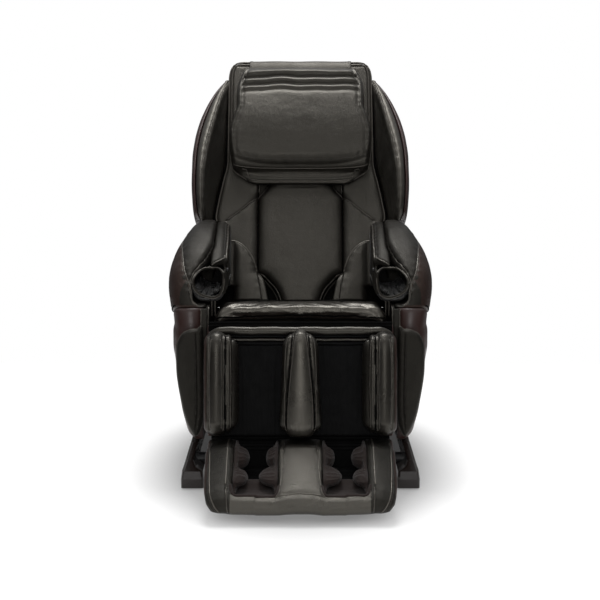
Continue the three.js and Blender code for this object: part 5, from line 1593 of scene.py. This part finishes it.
def seat():
    line = [(-246, 474), (-247, 490), (-240, 503), (-222, 508), (-150, 500), (0, 476), (90, 459), (110, 442), (110, 382), (60, 379), (-100, 394), (-210, 406), (-217, 440), (-232, 466)]

    def field(X, Y, Z):
        return smax(poly2(Y, Z, line) + 3.0, np.abs(X) - 244, 24)

    V, Q = nets(field, (-256, -256, 370), (256, 118, 516), 6.2)
    V = relax(V, Q, 3, 0.5, -0.52)
    V, Q = puffed(V, Q, 5.0, pressure=4.0, slack=0.03)
    drop = pchip([0, 60, 160, 195, 217, 230, 250], [0, 0, 1, 3, 10, 21, 30])
    V[:, 2] -= drop(np.abs(V[:, 0])) * step(410, 480, V[:, 2]) * step(-40, -200, V[:, 1])
    N = normals(V, Q)
    creases = both([
        [(-152, -248, 474), (-149, -248, 488), (-132, -243, 499), (-104, -230, 506), (-80, -214, 508)],
        [(-116, -248, 477), (-108, -247, 491), (-84, -240, 502), (-46, -228, 507), (-20, -216, 508)],
        [(-40, -248, 478), (-31, -247, 490), (-14, -242, 499), (0, -236, 503)],
        [(-219, -244, 484), (-206, -242, 492), (-182, -232, 502), (-166, -218, 505)],
        [(-176, -250, 470), (-170, -249, 480), (-158, -246, 492), (-140, -236, 503)],
    ])
    disp = folds(V, creases, 3.4, 4.2, 2.2)
    top = step(0.3, 0.8, N[:, 2])
    disp += top * (2.0 * vnoise(V, (120, 70, 60), 91) + 1.0 * fbm(V, (44, 30, 30), 93, 2))
    for y in (-150, -20):
        disp -= top * 2.6 * gauss(V[:, 1] - y, 3.2) * step(228, 210, np.abs(V[:, 0]))
    for x in (-118, 118):
        disp -= top * 2.6 * gauss(V[:, 0] - x, 3.2) * step(-200, -188, V[:, 1])
    front = step(-200, -225, V[:, 1])
    disp += front * (0.9 * fbm(V, (26, 20, 9), 95, 2) + 1.1 * vnoise(V, (44, 40, 14), 96))
    V = V + N * disp[:, None]
    V[:, 0] = np.clip(V[:, 0], -248.5, 248.5)
    V[:, 1] = np.minimum(V[:, 1], 111)
    skin = Skin(V, Q)
    out = Piece().add(V, Q, None, 0)
    # welts under the cushion's front roll in the seam shadow: painted shade
    for z, y, r in ((472, -250, 2.2), (462, -236, 1.9)):
        xs = np.linspace(-246, 246, 200)
        L = [(x, y, z + 2.5 * math.exp(-((x / 52) ** 2)) + 0.8 * math.sin(x / 19.0)) for x in xs]
        P, NP = skin.lay(A(L), 0.3)
        welt(out, P, r, 3)
    xs = np.linspace(-205, 205, 150)
    P, NP = skin.lay(A([(x, -152, 505) for x in xs]), 0.2)
    out.add(*stitches(P, NP, side=5), 2)
    out.make("seat_cushion_cover", [LEATHER_SEAT, PIPING, THREAD, GROOVE], "seat", ["seat_cushion"], "leather", fill=0.7)

    roll = [(-243, 374), (-244, 428), (-243, 443), (-236, 455), (-227, 452), (-222, 440), (-222, 416), (-234.4, 406), (-234.4, 368)]

    def field(X, Y, Z):
        return smax(poly2(Y, Z, roll) + 0.4, np.abs(X) - 234.5, 12)

    V, Q = nets(field, (-240, -250, 360), (240, -216, 460), 3.0)
    V = relax(V, Q, 3, 0.5, -0.52)
    N = normals(V, Q)
    front = step(-0.2, -0.8, N[:, 1])
    disp = front * (0.9 * vnoise(V, (70, 30, 24), 97) + 0.5 * fbm(V, (26, 20, 16), 99, 2) - 2.2 * gauss(V[:, 2] - 414, 2.6))
    V = V + N * disp[:, None]
    skin = Skin(V, Q)
    out = Piece().add(V, Q, None, 0)
    P, NP = skin.lay(A([(x, -240, 452) for x in np.linspace(-228, 228, 150)]), 0.2)
    welt(out, P, 1.8, 0)
    P, NP = skin.lay(A([(x, -246, 419) for x in np.linspace(-228, 228, 150)]), 0.2)
    out.add(*stitches(P, NP), 2)
    # the front roll wears the darker, duller leather copy: painted shade under the cushion's overhang
    out.make("seat_front_cover", [LEATHER_DARK, PIPING, THREAD], "seat", ["seat_front_roll"], "leather", fill=0.6)


# ================================================================== leg rest
PAD = [(-41, 14), (-76, 19), (-100, 10), (-112, -8), (-116, -30), (-117, -130), (-115, -224), (-104, -248), (-82, -256), (-41, -256)]
MID = [(-41, 24), (-78, 27), (-104, 16), (-114, -8), (-116, -34), (-117, -130), (-116, -234), (-108, -254), (-84, -259), (-60.6, -259), (-60.6, -10), (-60.6, 5), (-41, 9)]


def calf():
    # side pad: two panels over the front, pleats going into the channel
    def field(X, Y, Z):
        D = smax(poly2(Y, Z, PAD) + 1.5, 166 - X, 62)
        D = smax(D, X - 255.5, 26)
        return smax(D, -np.maximum(np.maximum(X - 229.4, -60.4 - Y), 149 - X), 2)

    V, Q = nets(field, (158, -126, -266), (264, -34, 30), 4.6)
    V = relax(V, Q, 3, 0.5, -0.52)
    V, Q = puffed(V, Q, 3.0, pressure=3.0)
    N = normals(V, Q)
    seam = curve([(207, -118, 6), (206.5, -121, -60), (206, -121, -130), (206, -121, -200), (207, -112, -240)], 3)
    outer = curve([(241.5, -116, 4), (242, -117, -60), (242, -117, -130), (242, -117, -200), (241, -108, -240)], 3)
    inner = curve([(184, -110, 2), (184.5, -111, -60), (184.5, -111, -130), (184.5, -110, -200), (185, -102, -236)], 3)
    d1, t1 = near(V[:, [0, 2]], seam[:, [0, 2]])
    d2, t2 = near(V[:, [0, 2]], outer[:, [0, 2]])
    d3, t3 = near(V[:, [0, 2]], inner[:, [0, 2]])
    front = step(-60, -75, V[:, 1])
    disp = front * (2.4 * (1 - np.exp(-np.minimum(np.minimum(d1, d2), d3) / 8)) - 2.9 * gauss(d1, 2.4) - 2.3 * gauss(d2, 2.2) - 1.4 * gauss(d3, 2.4))
    disp += front * (0.22 * pucker(t1) * gauss(d1, 7) + 0.2 * pucker(t2, 1) * gauss(d2, 6))
    disp += front * (3.6 * np.clip(1 - ((V[:, 0] - 224) / 17.5) ** 2, 0, 1) + 1.8 * np.clip(1 - ((V[:, 0] - 190) / 7) ** 2, 0, 1) - 2.2 * gauss(V[:, 0] - 200, 4.5))
    disp += front * 3.5 * np.sin(np.clip((V[:, 2] + 256) / 265, 0, 1) * np.pi)
    pleat = step(186, 180, V[:, 0])
    disp += pleat * step(-40, -60, V[:, 1]) * step(-250, -212, V[:, 2]) * 1.5 * np.sin(V[:, 1] / 4.4 + V[:, 0] / 4.4 + 1.2 * np.sin(V[:, 2] / 90.0))
    disp += 0.35 * vnoise(V, (60, 30, 120), 101)
    V = V + N * disp[:, None]
    V[:, 0] = np.clip(V[:, 0], 163, 256.9)
    back_wall = V[:, 1] > -42
    V[back_wall, 1] = np.minimum(V[back_wall, 1], -40.8)
    skin = Skin(V, Q)
    pad = Piece().add(V, Q, None, 0)
    fn, fm = normals(V, Q)[Q].mean(1), V[Q].mean(1)
    # faces in the gutter beside the seam get the seam shadow, painted shade; outer side faces get brown hide
    gut = (np.abs(fm[:, 0] - 200) < 2.6) & (fn[:, 1] < -0.3) & (fm[:, 2] > -246) & (fm[:, 2] < 8)
    pad.qm[0] = np.where((fn[:, 0] > 0.35) & (fm[:, 0] > 250), 3, np.where(gut, 4, 0))
    P, NP = skin.lay(seam, 0.0)
    welt(pad, P, 1.2)
    pad.add(*stitches(P, NP, side=4.2), 2)
    P, NP = skin.lay(outer, 0.0)
    welt(pad, P, 1.5)
    pad.add(*stitches(P, NP, side=3.8), 2)
    pad.add(*stitches(P, NP, side=-3.8), 2)
    P, NP = skin.lay(inner, 0.0)
    welt(pad, P, 1.2)
    pad.map(leg)

    # middle pad
    def field(X, Y, Z):
        wide = 50.5 - 12 * step(-20, 28, Z) + 4 * step(-120, -230, Z)
        return smax(poly2(Y, Z, MID) + 1.5, np.abs(X) - wide, 50)

    V, Q = nets(field, (-62, -126, -268), (62, -34, 38), 4.6)
    V = relax(V, Q, 3, 0.5, -0.52)
    V, Q = puffed(V, Q, 3.0, pressure=3.0)
    N = normals(V, Q)
    half = pchip([-262, -200, -60, 10, 40], [37, 34, 24, 18, 15])(V[:, 2])
    front = step(-62, -80, V[:, 1])
    e = np.abs(V[:, 0]) - half
    disp = front * (2.0 * (1 - np.exp(-np.abs(e) / 7)) - 3.2 * gauss(e, 2.4) - 3.0 * gauss(e - 5, 3.2))
    disp += front * 0.25 * pucker(V[:, 2], 2) * gauss(e, 8) + 0.4 * vnoise(V, (40, 30, 110), 103)
    disp += front * (4.4 * step(34, -30, V[:, 2]) * np.clip(1 - (V[:, 0] / half) ** 2, 0, 1) + 7.5 * np.sin(np.clip((V[:, 2] + 256) / 275, 0, 1) ** 0.55 * np.pi))
    V = V + N * disp[:, None]
    skin = Skin(V, Q)
    mid = Piece().add(V, Q, None, 0)
    fn, fm = normals(V, Q)[Q].mean(1), V[Q].mean(1)
    # the joint beside the front panel is laid in the seam shadow, painted shade; the front panel gets the lighter,
    # shinier leather copy, a painted highlight
    gap = np.abs(np.abs(fm[:, 0]) - pchip([-262, -200, -60, 10, 40], [37, 34, 24, 18, 15])(fm[:, 2]) - 3.6)
    panel = (np.abs(fm[:, 0]) < pchip([-262, -200, -60, 10, 40], [37, 34, 24, 18, 15])(fm[:, 2]) + 0.5) & (fn[:, 1] < 0.2)
    mid.qm[0] = np.where((gap < 2.2) & (fn[:, 1] < -0.3) & (fm[:, 2] < 8), 3, np.where(panel, 4, 0))
    zs = np.linspace(14, -244, 120)
    for s in (-1, 1):
        L = np.stack([s * pchip([-262, -200, -60, 10, 40], [37, 34, 24, 18, 15])(zs), -120 + 0 * zs, zs], 1)
        P, NP = skin.lay(L, 0.0)
        welt(mid, P, 1.3)
        mid.add(*stitches(P, NP, side=-4.0 * s), 2)
        P, NP = skin.lay(np.stack([s * (41 + 0 * zs), -108 + 0 * zs, zs], 1), 0.0)
        welt(mid, P, 1.4)
    mid.map(leg)

    # lining of the two channels, rolled along the top, and the hide that wraps the tray's top edge; the wrap is laid in
    # the seam shadow and its welts in the black cloth: painted shade
    def field(X, Y, Z):
        D = smax(slab(Y, -55.4, -46.2), slab(Z, -259.6, -16), 4)
        return smax(D, np.abs(X) - 227.5, 3)

    V, Q = nets(field, (-232, -62, -266), (232, -40, -8), 3.4)
    V = relax(V, Q, 2, 0.5, -0.52)
    N = normals(V, Q)
    front = step(-0.2, -0.8, N[:, 1])
    ax = np.abs(V[:, 0])
    sag = step(-20, -120, V[:, 2])
    V = V + N * (front * (2.6 * gauss(ax - 160 + 10 * sag, 4) + 2.2 * gauss(ax - 66 - 8 * sag, 4) + 1.4 * gauss(ax - 112 + 9 * np.sin(V[:, 2] / 60), 5)))[:, None]
    V = V + N * (front * (0.8 * fbm(V, (30, 20, 26), 105, 2) + 0.6 * np.sin(V[:, 0] / 3.1 + vnoise(V, 40, 107))))[:, None]
    lining = Piece().add(V, Q, None, 0)
    xs = np.linspace(-1, 1, 170)

    def roll(y, z, ry, rz, w, droop, mat, seed, wave=0.6):
        a = np.linspace(0, 2 * np.pi, 26, endpoint=False)
        R = []
        for u in xs:
            x = u * w
            k = (1 - abs(u) ** 18) ** 0.5 if abs(u) < 1 else 0.0
            k = max(k, 0.12)
            dz = -droop * max(0.0, (abs(u) - 0.86) / 0.14) ** 1.6 + wave * math.sin(x / 17.0 + seed) + 0.5 * wave * math.sin(x / 6.3)
            R.append([(x, y + ry * k * math.cos(b), z + dz + rz * k * math.sin(b)) for b in a])
        V2, Q2, T2 = rings(R)
        Q2, T2 = outward(V2, Q2, T2)
        lining.add(V2, Q2, T2, mat)

    roll(-51.5, 22.5, 10.8, 11.5, 251, 12, 1, 0.0)
    roll(-53.0, -1.5, 7.0, 4.6, 226, 0, 1, 1.0, 0.4)
    # the two smaller rolls below wear the black cloth: painted shade that keeps them dark
    roll(-52.0, 8.0, 4.5, 3.0, 226, 0, 0, 2.0, 0.2)
    roll(-51.8, -11.0, 4.8, 4.0, 226, 0, 0, 4.0, 0.3)
    wrap = [(-44.5, 20), (-44.5, 43), (-42, 46.4), (-36, 47.6), (3, 47.6), (3, 45), (-38, 45), (-40.6, 42), (-40.6, 20)]

    def field(X, Y, Z):
        return smax(poly2(Y, Z, wrap), np.abs(X) - 250, 2)

    V, Q = nets(field, (-254, -48, 16), (254, 10, 53), 2.6)
    V = relax(V, Q, 2, 0.5, -0.52)
    lining.add(V, Q, None, 3)
    for z in (37.5, 46):
        L = [(x, -45.0 + (z > 40) * 2.0, z) for x in np.linspace(-248, 248, 60)]
        welt(lining, A(L), 1.1, 0)
    lining.map(leg)

    # folding bellows between the leg rest and the foot box
    rows = np.linspace(-271, -119, 182)
    R = []
    for z in rows:
        f = (z + 261) / 10.1
        tri = abs((f % 1) * 2 - 1)
        y = -36.4 - 5.2 * (1 - tri) ** 0.8
        ring = [(x, y - 0.4 * math.sin(x / 9.0 + f), z) for x in np.linspace(-241, 241, 72)] + [(x, y + 1.3, z) for x in np.linspace(241, -241, 72)]
        R.append(ring)
    V, Q, T = rings(R)
    Q, T = outward(V, Q, T)
    gaiter = Piece().add(V, Q, T, 0).map(leg)

    for side, p in (("left", pad), ("right", pad.mirrored())):
        p.make(side + "_calf_leather", [LEATHER_GLOSS, PIPING, THREAD, BROWN_HIDE, GROOVE], "legrest", [side + "_calf_pad"], "leather", fill=0.7)
    mid.make("center_calf_leather", [LEATHER_GLOSS, PIPING, THREAD, GROOVE, LEATHER_PAINTED_HIGHLIGHT], "legrest", ["center_calf_pad"], "leather", fill=0.7)
    lining.make("calf_channel_lining", [LINING, LEATHER_GLOSS, PIPING, GROOVE], "legrest", ["calf_lining"], "lining", fill=0.3)
    g = gaiter.make("foot_bellows", [LINING], None, ["foot_gaiter"], "lining", fill=0.1)
    a, b = leg(A([0.0, -38.0, -128.0])), leg(A([0.0, -38.0, -252.0]))
    a[1] += YS
    b[1] += YS
    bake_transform(g)


# ================================================================== foot box
BOX = [(-345, 156), (-400, 159.5), (-462, 165), (-478, 161), (-540, 126), (-612, 86), (-634, 68), (-641, 52), (-641, 38), (-630, 25), (-600, 25.5), (-400, 30), (-356, 44), (-345, 90)]
FRONT = [(0, 220), (250, 220), (250, 96), (247.5, 74), (240, 52), (226, 34), (206, 24), (0, 22), (-206, 24), (-226, 34), (-240, 52), (-247.5, 74), (-250, 96), (-250, 220)]


def foot():
    def field(X, Y, Z):
        ax = np.abs(X)
        drop = np.where(ax > 197, 14 * (np.clip(ax - 197, 0, 54) / 54) ** 1.3, 5 * (np.clip(197 - ax, 0, 20) / 20) ** 2)
        drop = np.where(ax < 117, 8 * np.clip(ax / 58, 0, 1) ** 2.2, drop) * step(-345, -420, Y)
        D = smax(poly2(Y, Z + drop, BOX) + 1.0, poly2(X, Z, FRONT), 17)
        D = smax(D, Y + 361.5, 3)
        wy = -612 - 0.3 * (Z - 60)
        well = smax(slab(ax, 58, 176), smax(wy - Y, 62 - Z, 10), 16)
        D = smax(D, -well, 11)
        under = np.maximum(np.maximum(Z - 40.5, slab(Y, -600, -360)), ax - 236)
        D = smax(D, -under, 2)
        hole = np.maximum(slab(ax, 61, 173), slab(Y, -540, -470))
        D = smax(D, -np.maximum(hole, slab(Z, 30, 76)), 2)
        return D

    V, Q = nets(field, (-258, -650, 16), (258, -352, 174), 3.2)
    V = relax(V, Q, 4, 0.5, -0.52)
    N = normals(V, Q)
    ax = np.abs(V[:, 0])
    Vm = np.stack([ax, V[:, 1], V[:, 2]], 1)
    out_seam = curve([(243.5, -402, 163), (243.5, -470, 164), (241, -540, 130), (236, -610, 92), (227, -636, 66), (216, -644, 46), (206, -640, 30)], 3)
    low = curve([(190, -600, 88), (189, -622, 80), (187.5, -641, 62), (186.5, -645, 46), (186, -640, 30)], 3)
    mid_seam = curve([(50, -390, 163), (48, -440, 166), (46, -497, 148), (49, -545, 122), (53, -582, 102), (58, -608, 88), (64, -626, 76)], 3)
    cross = curve([(64, -626, 76), (34, -624, 79), (0, -623, 81)], 3)
    d1, t1 = near(Vm, out_seam)
    d2, t2 = near(Vm, low)
    d3, t3 = near(Vm, mid_seam)
    d4, t4 = near(Vm, cross)
    dm = np.minimum(np.minimum(d1, d2), np.minimum(d3, d4))
    shown = step(-0.1, 0.25, np.maximum(N[:, 2], -N[:, 1]))
    inside_well = step(178, 174, ax) * step(56, 60, ax) * step(-618, -610, V[:, 1])
    swell = 3.0 * (1 - np.exp(-dm / 14)) * shown * (1 - inside_well)
    disp = swell - shown * (2.6 * gauss(d1, 2.4) + 3.0 * gauss(d2, 2.4) + 2.4 * gauss(d3, 2.4) + 3.4 * gauss(d4, 2.6))
    disp += shown * (0.6 * pucker(t2, 1) * gauss(d2, 8) + 0.5 * pucker(t3, 2) * gauss(d3, 7) + 0.7 * pucker(V[:, 0], 4) * gauss(d4, 8))
    # the front roll dips under each well
    lip = step(-600, -616, V[:, 1]) * gauss(V[:, 2] - 74, 13) * step(180, 160, ax) * step(56, 74, ax)
    disp -= 3.0 * lip
    disp += shown * (0.9 * vnoise(V, (90, 60, 60), 111) + 0.5 * fbm(V, (30, 26, 26), 113, 2))
    V = V + N * disp[:, None]
    V[:, 1] = np.clip(V[:, 1], -643.5, -361)
    V[:, 0] = np.clip(V[:, 0], -250.6, 250.6)
    skin = Skin(V, Q)
    out = Piece().add(V, Q, None, 0)
    fn = normals(V, Q)[Q].mean(1)
    fx = np.abs(V[Q].mean(1)[:, 0])
    # outer side faces get brown hide; the walls beyond 180 mm get the darker, duller leather copy, painted shade
    out.qm[0] = np.where((np.abs(fn[:, 0]) > 0.42) & (fx > 243), 4, np.where(fx > 180, 5, 0))
    for s in (-1, 1):
        m = A([s, 1.0, 1.0])
        for L, r, st in ((out_seam, 2.0, 5.0), (low, 1.3, 0), (mid_seam, 2.0, 4.6), (cross, 1.4, 0)):
            P, NP = skin.lay(L * m, 0.2)
            welt(out, P, r)
            if st:
                out.add(*stitches(P, NP, side=st * s * (-1 if L is mid_seam else 1)), 2)
        # welt round the rim of the well
        rim = curve([(192, -380, 164), (192, -462, 165), (192, -540, 127), (192, -596, 96)], 3)
        P, NP = skin.lay(rim * m, 0.2)
        welt(out, P, 2.6)
        # cloth band over the front edge of the well
        band = curve([(181, -592, 92), (176, -606, 82), (160, -615, 76.5), (120, -617, 75), (80, -615, 76.5), (62, -606, 83), (57, -592, 92)], 3)
        P, NP = skin.lay(band * m, -0.5)
        welt(out, P, 5.2, 3, 12)
    out.make("foot_box_leather", [LEATHER_FOOT, PIPING, THREAD, GATHERED, BROWN_HIDE, LEATHER_WALL], "footrest", ["foot_upholstery"], "leather", fill=0.7)

    # gathered cloth air cushions: two lobes on each wall, a heel roll and the cloth under the sole
    def field(X, Y, Z):
        def lobe(x, y, z, rx, ry, rz):
            q = np.sqrt(((X - x) / rx) ** 2 + ((Y - y) / ry) ** 2 + ((Z - z) / rz) ** 2)
            return (q - 1) * min(rx, ry, rz)

        wall_o = smax(poly2(Y, Z, [(-374, 156), (-456, 158), (-528, 118), (-590, 82), (-604, 70), (-372, 66)]), slab(X, 165, 175.2), 5)
        wall_i = smax(poly2(Y, Z, [(-374, 156), (-456, 158), (-528, 118), (-590, 82), (-604, 70), (-372, 66)]), slab(X, 58.8, 68), 5)
        D = np.minimum(wall_o, wall_i)
        D = smin(D, lobe(172, -436, 122, 38, 58, 30), 7)
        D = smin(D, lobe(172, -532, 94, 37, 52, 21), 7)
        D = smin(D, lobe(62, -440, 124, 31, 56, 28), 7)
        D = smin(D, lobe(62, -524, 94, 48, 58, 23), 7)
        heel = smax(slab(Y, -402, -368), smax(slab(Z, 65, 80), slab(X, 62, 172), 6), 10)
        D = smin(D, heel, 8)
        s = 66 + 13.5 * np.exp(-(((Y + 505) / 26.0) ** 2)) + 3 * np.exp(-(((X - 117) / 40.0) ** 2)) * np.exp(-(((Y + 505) / 34.0) ** 2))
        sole = smax(smax(Z - s, s - 4.2 - Z, 1), smax(slab(Y, -603, -372), slab(X, 62, 172), 4), 2)
        D = smin(D, sole, 5)
        D = smax(D, slab(X, 58.6, 175.4), 1)
        gap = np.maximum(np.hypot(Y + 505, Z - 57) - 19.4, slab(X, 60, 174))
        return smax(D, -gap, 1)

    V, Q = nets(field, (54, -610, 58), (180, -360, 166), 2.4)
    V = relax(V, Q, 4, 0.5, -0.52)
    N = normals(V, Q)
    inner = step(0.15, 0.6, np.where(V[:, 0] > 117, -N[:, 0], N[:, 0]))
    up = step(0.2, 0.7, N[:, 2]) * step(165, 158, V[:, 0]) * step(66, 74, V[:, 0])
    ring = np.zeros(len(V))
    for x, y, z, w in ((172, -436, 122, 1.0), (172, -532, 94, 1.0), (62, -440, 124, 1.0), (62, -524, 94, 1.0)):
        q = np.hypot(V[:, 1] - y, (V[:, 2] - z) * 1.6)
        ang = np.arctan2((V[:, 2] - z) * 1.6, V[:, 1] - y)
        near_it = gauss(V[:, 0] - x, 40) * np.exp(-((q / 62) ** 4))
        wr = (1 - np.abs(np.sin(ang * 7.5 + 1.3 * np.sin(ang * 3 + y) + vnoise(V, 30, 121)))) ** 1.5
        ring += near_it * step(12, 34, q) * wr
    lobed = np.maximum(inner, step(0.1, 0.5, np.maximum(N[:, 2], -N[:, 1])) * step(169, 164, V[:, 0]) * step(65, 70, V[:, 0]) * step(80, 86, V[:, 2]))
    disp = lobed * (4.2 * ring - 1.5) + 0.9 * (1 - np.abs(vnoise(V, (16, 20, 9), 123))) * np.maximum(inner, 0.5 * up) - 0.4
    disp += up * 0.7 * fbm(V, (30, 18, 20), 127, 2)
    V = V + N * disp[:, None]
    gap = np.hypot(V[:, 1] + 505, V[:, 2] - 57)
    tight = gap < 18.6
    V[tight, 1:] = A([-505, 57]) + (V[tight, 1:] - A([-505, 57])) * (18.6 / np.maximum(gap[tight], 1e-6))[:, None]
    V[:, 0] = np.clip(V[:, 0], 58.4, 175.6)
    skin = Skin(V, Q)
    bag = Piece().add(V, Q, None, 0)
    mid = V[Q].mean(1)
    bag.qm[0] = np.where((mid[:, 1] > -447) & (mid[:, 2] < 86) & (np.abs(mid[:, 0] - 117) < 44), 2, 0)
    # ribbed black cloth at the back of the well
    R = []
    for z in np.linspace(67, 166, 90):
        rib = abs(((z - 67) / 9.5 % 1) * 2 - 1)
        y = -366.5 - (4.2 * (1 - rib) ** 0.8) * step(118, 126, z)
        R.append([(x, y, z) for x in np.linspace(60, 174.5, 24)] + [(x, y + 1.4, z) for x in np.linspace(174.5, 60, 24)])
    V2, Q2, T2 = rings(R)
    Q2, T2 = outward(V2, Q2, T2)
    bag.add(V2, Q2, T2, 2)
    for L in ([(160, -598, 69), (158, -520, 84), (160, -420, 70)], [(75, -598, 69), (77, -520, 84), (75, -420, 70)]):
        P, NP = skin.lay(curve(L, 3), 0.1)
        bag.add(*stitches(P, NP), 1)
    for side, p in (("left", bag), ("right", bag.mirrored())):
        p.make(side + "_foot_air_cushion", [GATHERED, THREAD, LINING], "footrest", [side + "_foot_airbag"], "gathered", fill=0.5)


LEATHER_SEAT = leather("leather_black_seat", (0.0070, 0.0058, 0.0050), (0.0115, 0.0098, 0.0085), rough=(0.22, 0.32), grain=0.8, specular=1.0)
LEATHER_FOOT = leather("leather_black_pebbled", (0.0066, 0.0060, 0.0052), (0.0110, 0.0100, 0.0088), rough=(0.25, 0.36), grain=1.7, specular=0.95)
# a darker, duller copy of the foot-box leather for the side walls: painted shade where they face away from the light
LEATHER_WALL = leather("leather_black_wall_painted_shade", (0.0062, 0.0057, 0.0050), (0.0104, 0.0096, 0.0085), rough=(0.34, 0.46), grain=1.4, specular=0.26)

seat()
calf()
foot()

# ------------------------------------------------------------------ CAD nodes' own finish
FINISH = {
    "dark_steel": STEEL,
    "bright_steel": BRIGHT,
    "rubber": RUBBER,
    "roller": ROLLER,
    "black_plastic": BLACK,
    "base_gloss": BASE,
    "brown_shell": SHELL,
    "lining": LINING,
    "gathered": GATHERED,
    "leather": LEATHER,
}
for _sub in frame["record"]["subparts"]:
    _o = NODES[_sub["node"]]
    _o.data.materials.clear()
    _o.data.materials.append(FINISH[_sub["material_slot"]])
    if _sub["material_slot"] in ("base_gloss", "brown_shell", "roller", "rubber"):
        for _p in _o.data.polygons:
            _p.use_smooth = True

# ------------------------------------------------------------------ floor and light
floor_piece = Piece().add(
    A([(-1500, -2500, 0), (1500, -2500, 0), (1500, 1500, 0), (-1500, 1500, 0)], float), A([[0, 1, 2, 3]])
)
_f = Mat("floor_white", (0.6, 0.6, 0.6), 0.6)
_f.color(_f.mix(_f.span(_f.noise(2.0, 2.0), 0.3, 0.7, 0.0, 1.0), (0.60, 0.60, 0.60), (0.62, 0.62, 0.62)))
# the floor glows to read white; the glow is weaker within about 0.6 to 0.84 m of the chair, a painted shadow round it,
# and grows again far in front
_f.b.inputs["Emission Color"].default_value = (1, 1, 1, 1)
_far = _f.n("ShaderNodeVectorMath", operation="LENGTH")
_f.link(_f.scaled((1.7, 1.0, 1.0)), _far.inputs[0])
_near = _f.n("ShaderNodeSeparateXYZ")
_f.link(_f.scaled((1.0, 1.0, 1.0)), _near.inputs[0])
_glow_dim_near_chair = _f.span(_far.outputs["Value"], 0.60, 0.84, 0.20, 0.55)
_f.link(_f.math("ADD", _glow_dim_near_chair, _f.span(_near.outputs[1], -1.15, -1.6, 0.0, 0.3)), _f.b.inputs["Emission Strength"])
floor_piece.make("floor", [_f.m], stage=True)

area("top_softbox", (0.0, 0.55, 3.2), (0, -0.1, 0.5), 1.1, 50, 1.3)
area("front_softbox", (0.0, -3.3, 2.0), (0, 0, 0.5), 1.5, 17, 0.9)
area("low_softbox", (0.0, -4.9, 1.2), (0, 0, 0.45), 0.5, 15, 0.45)
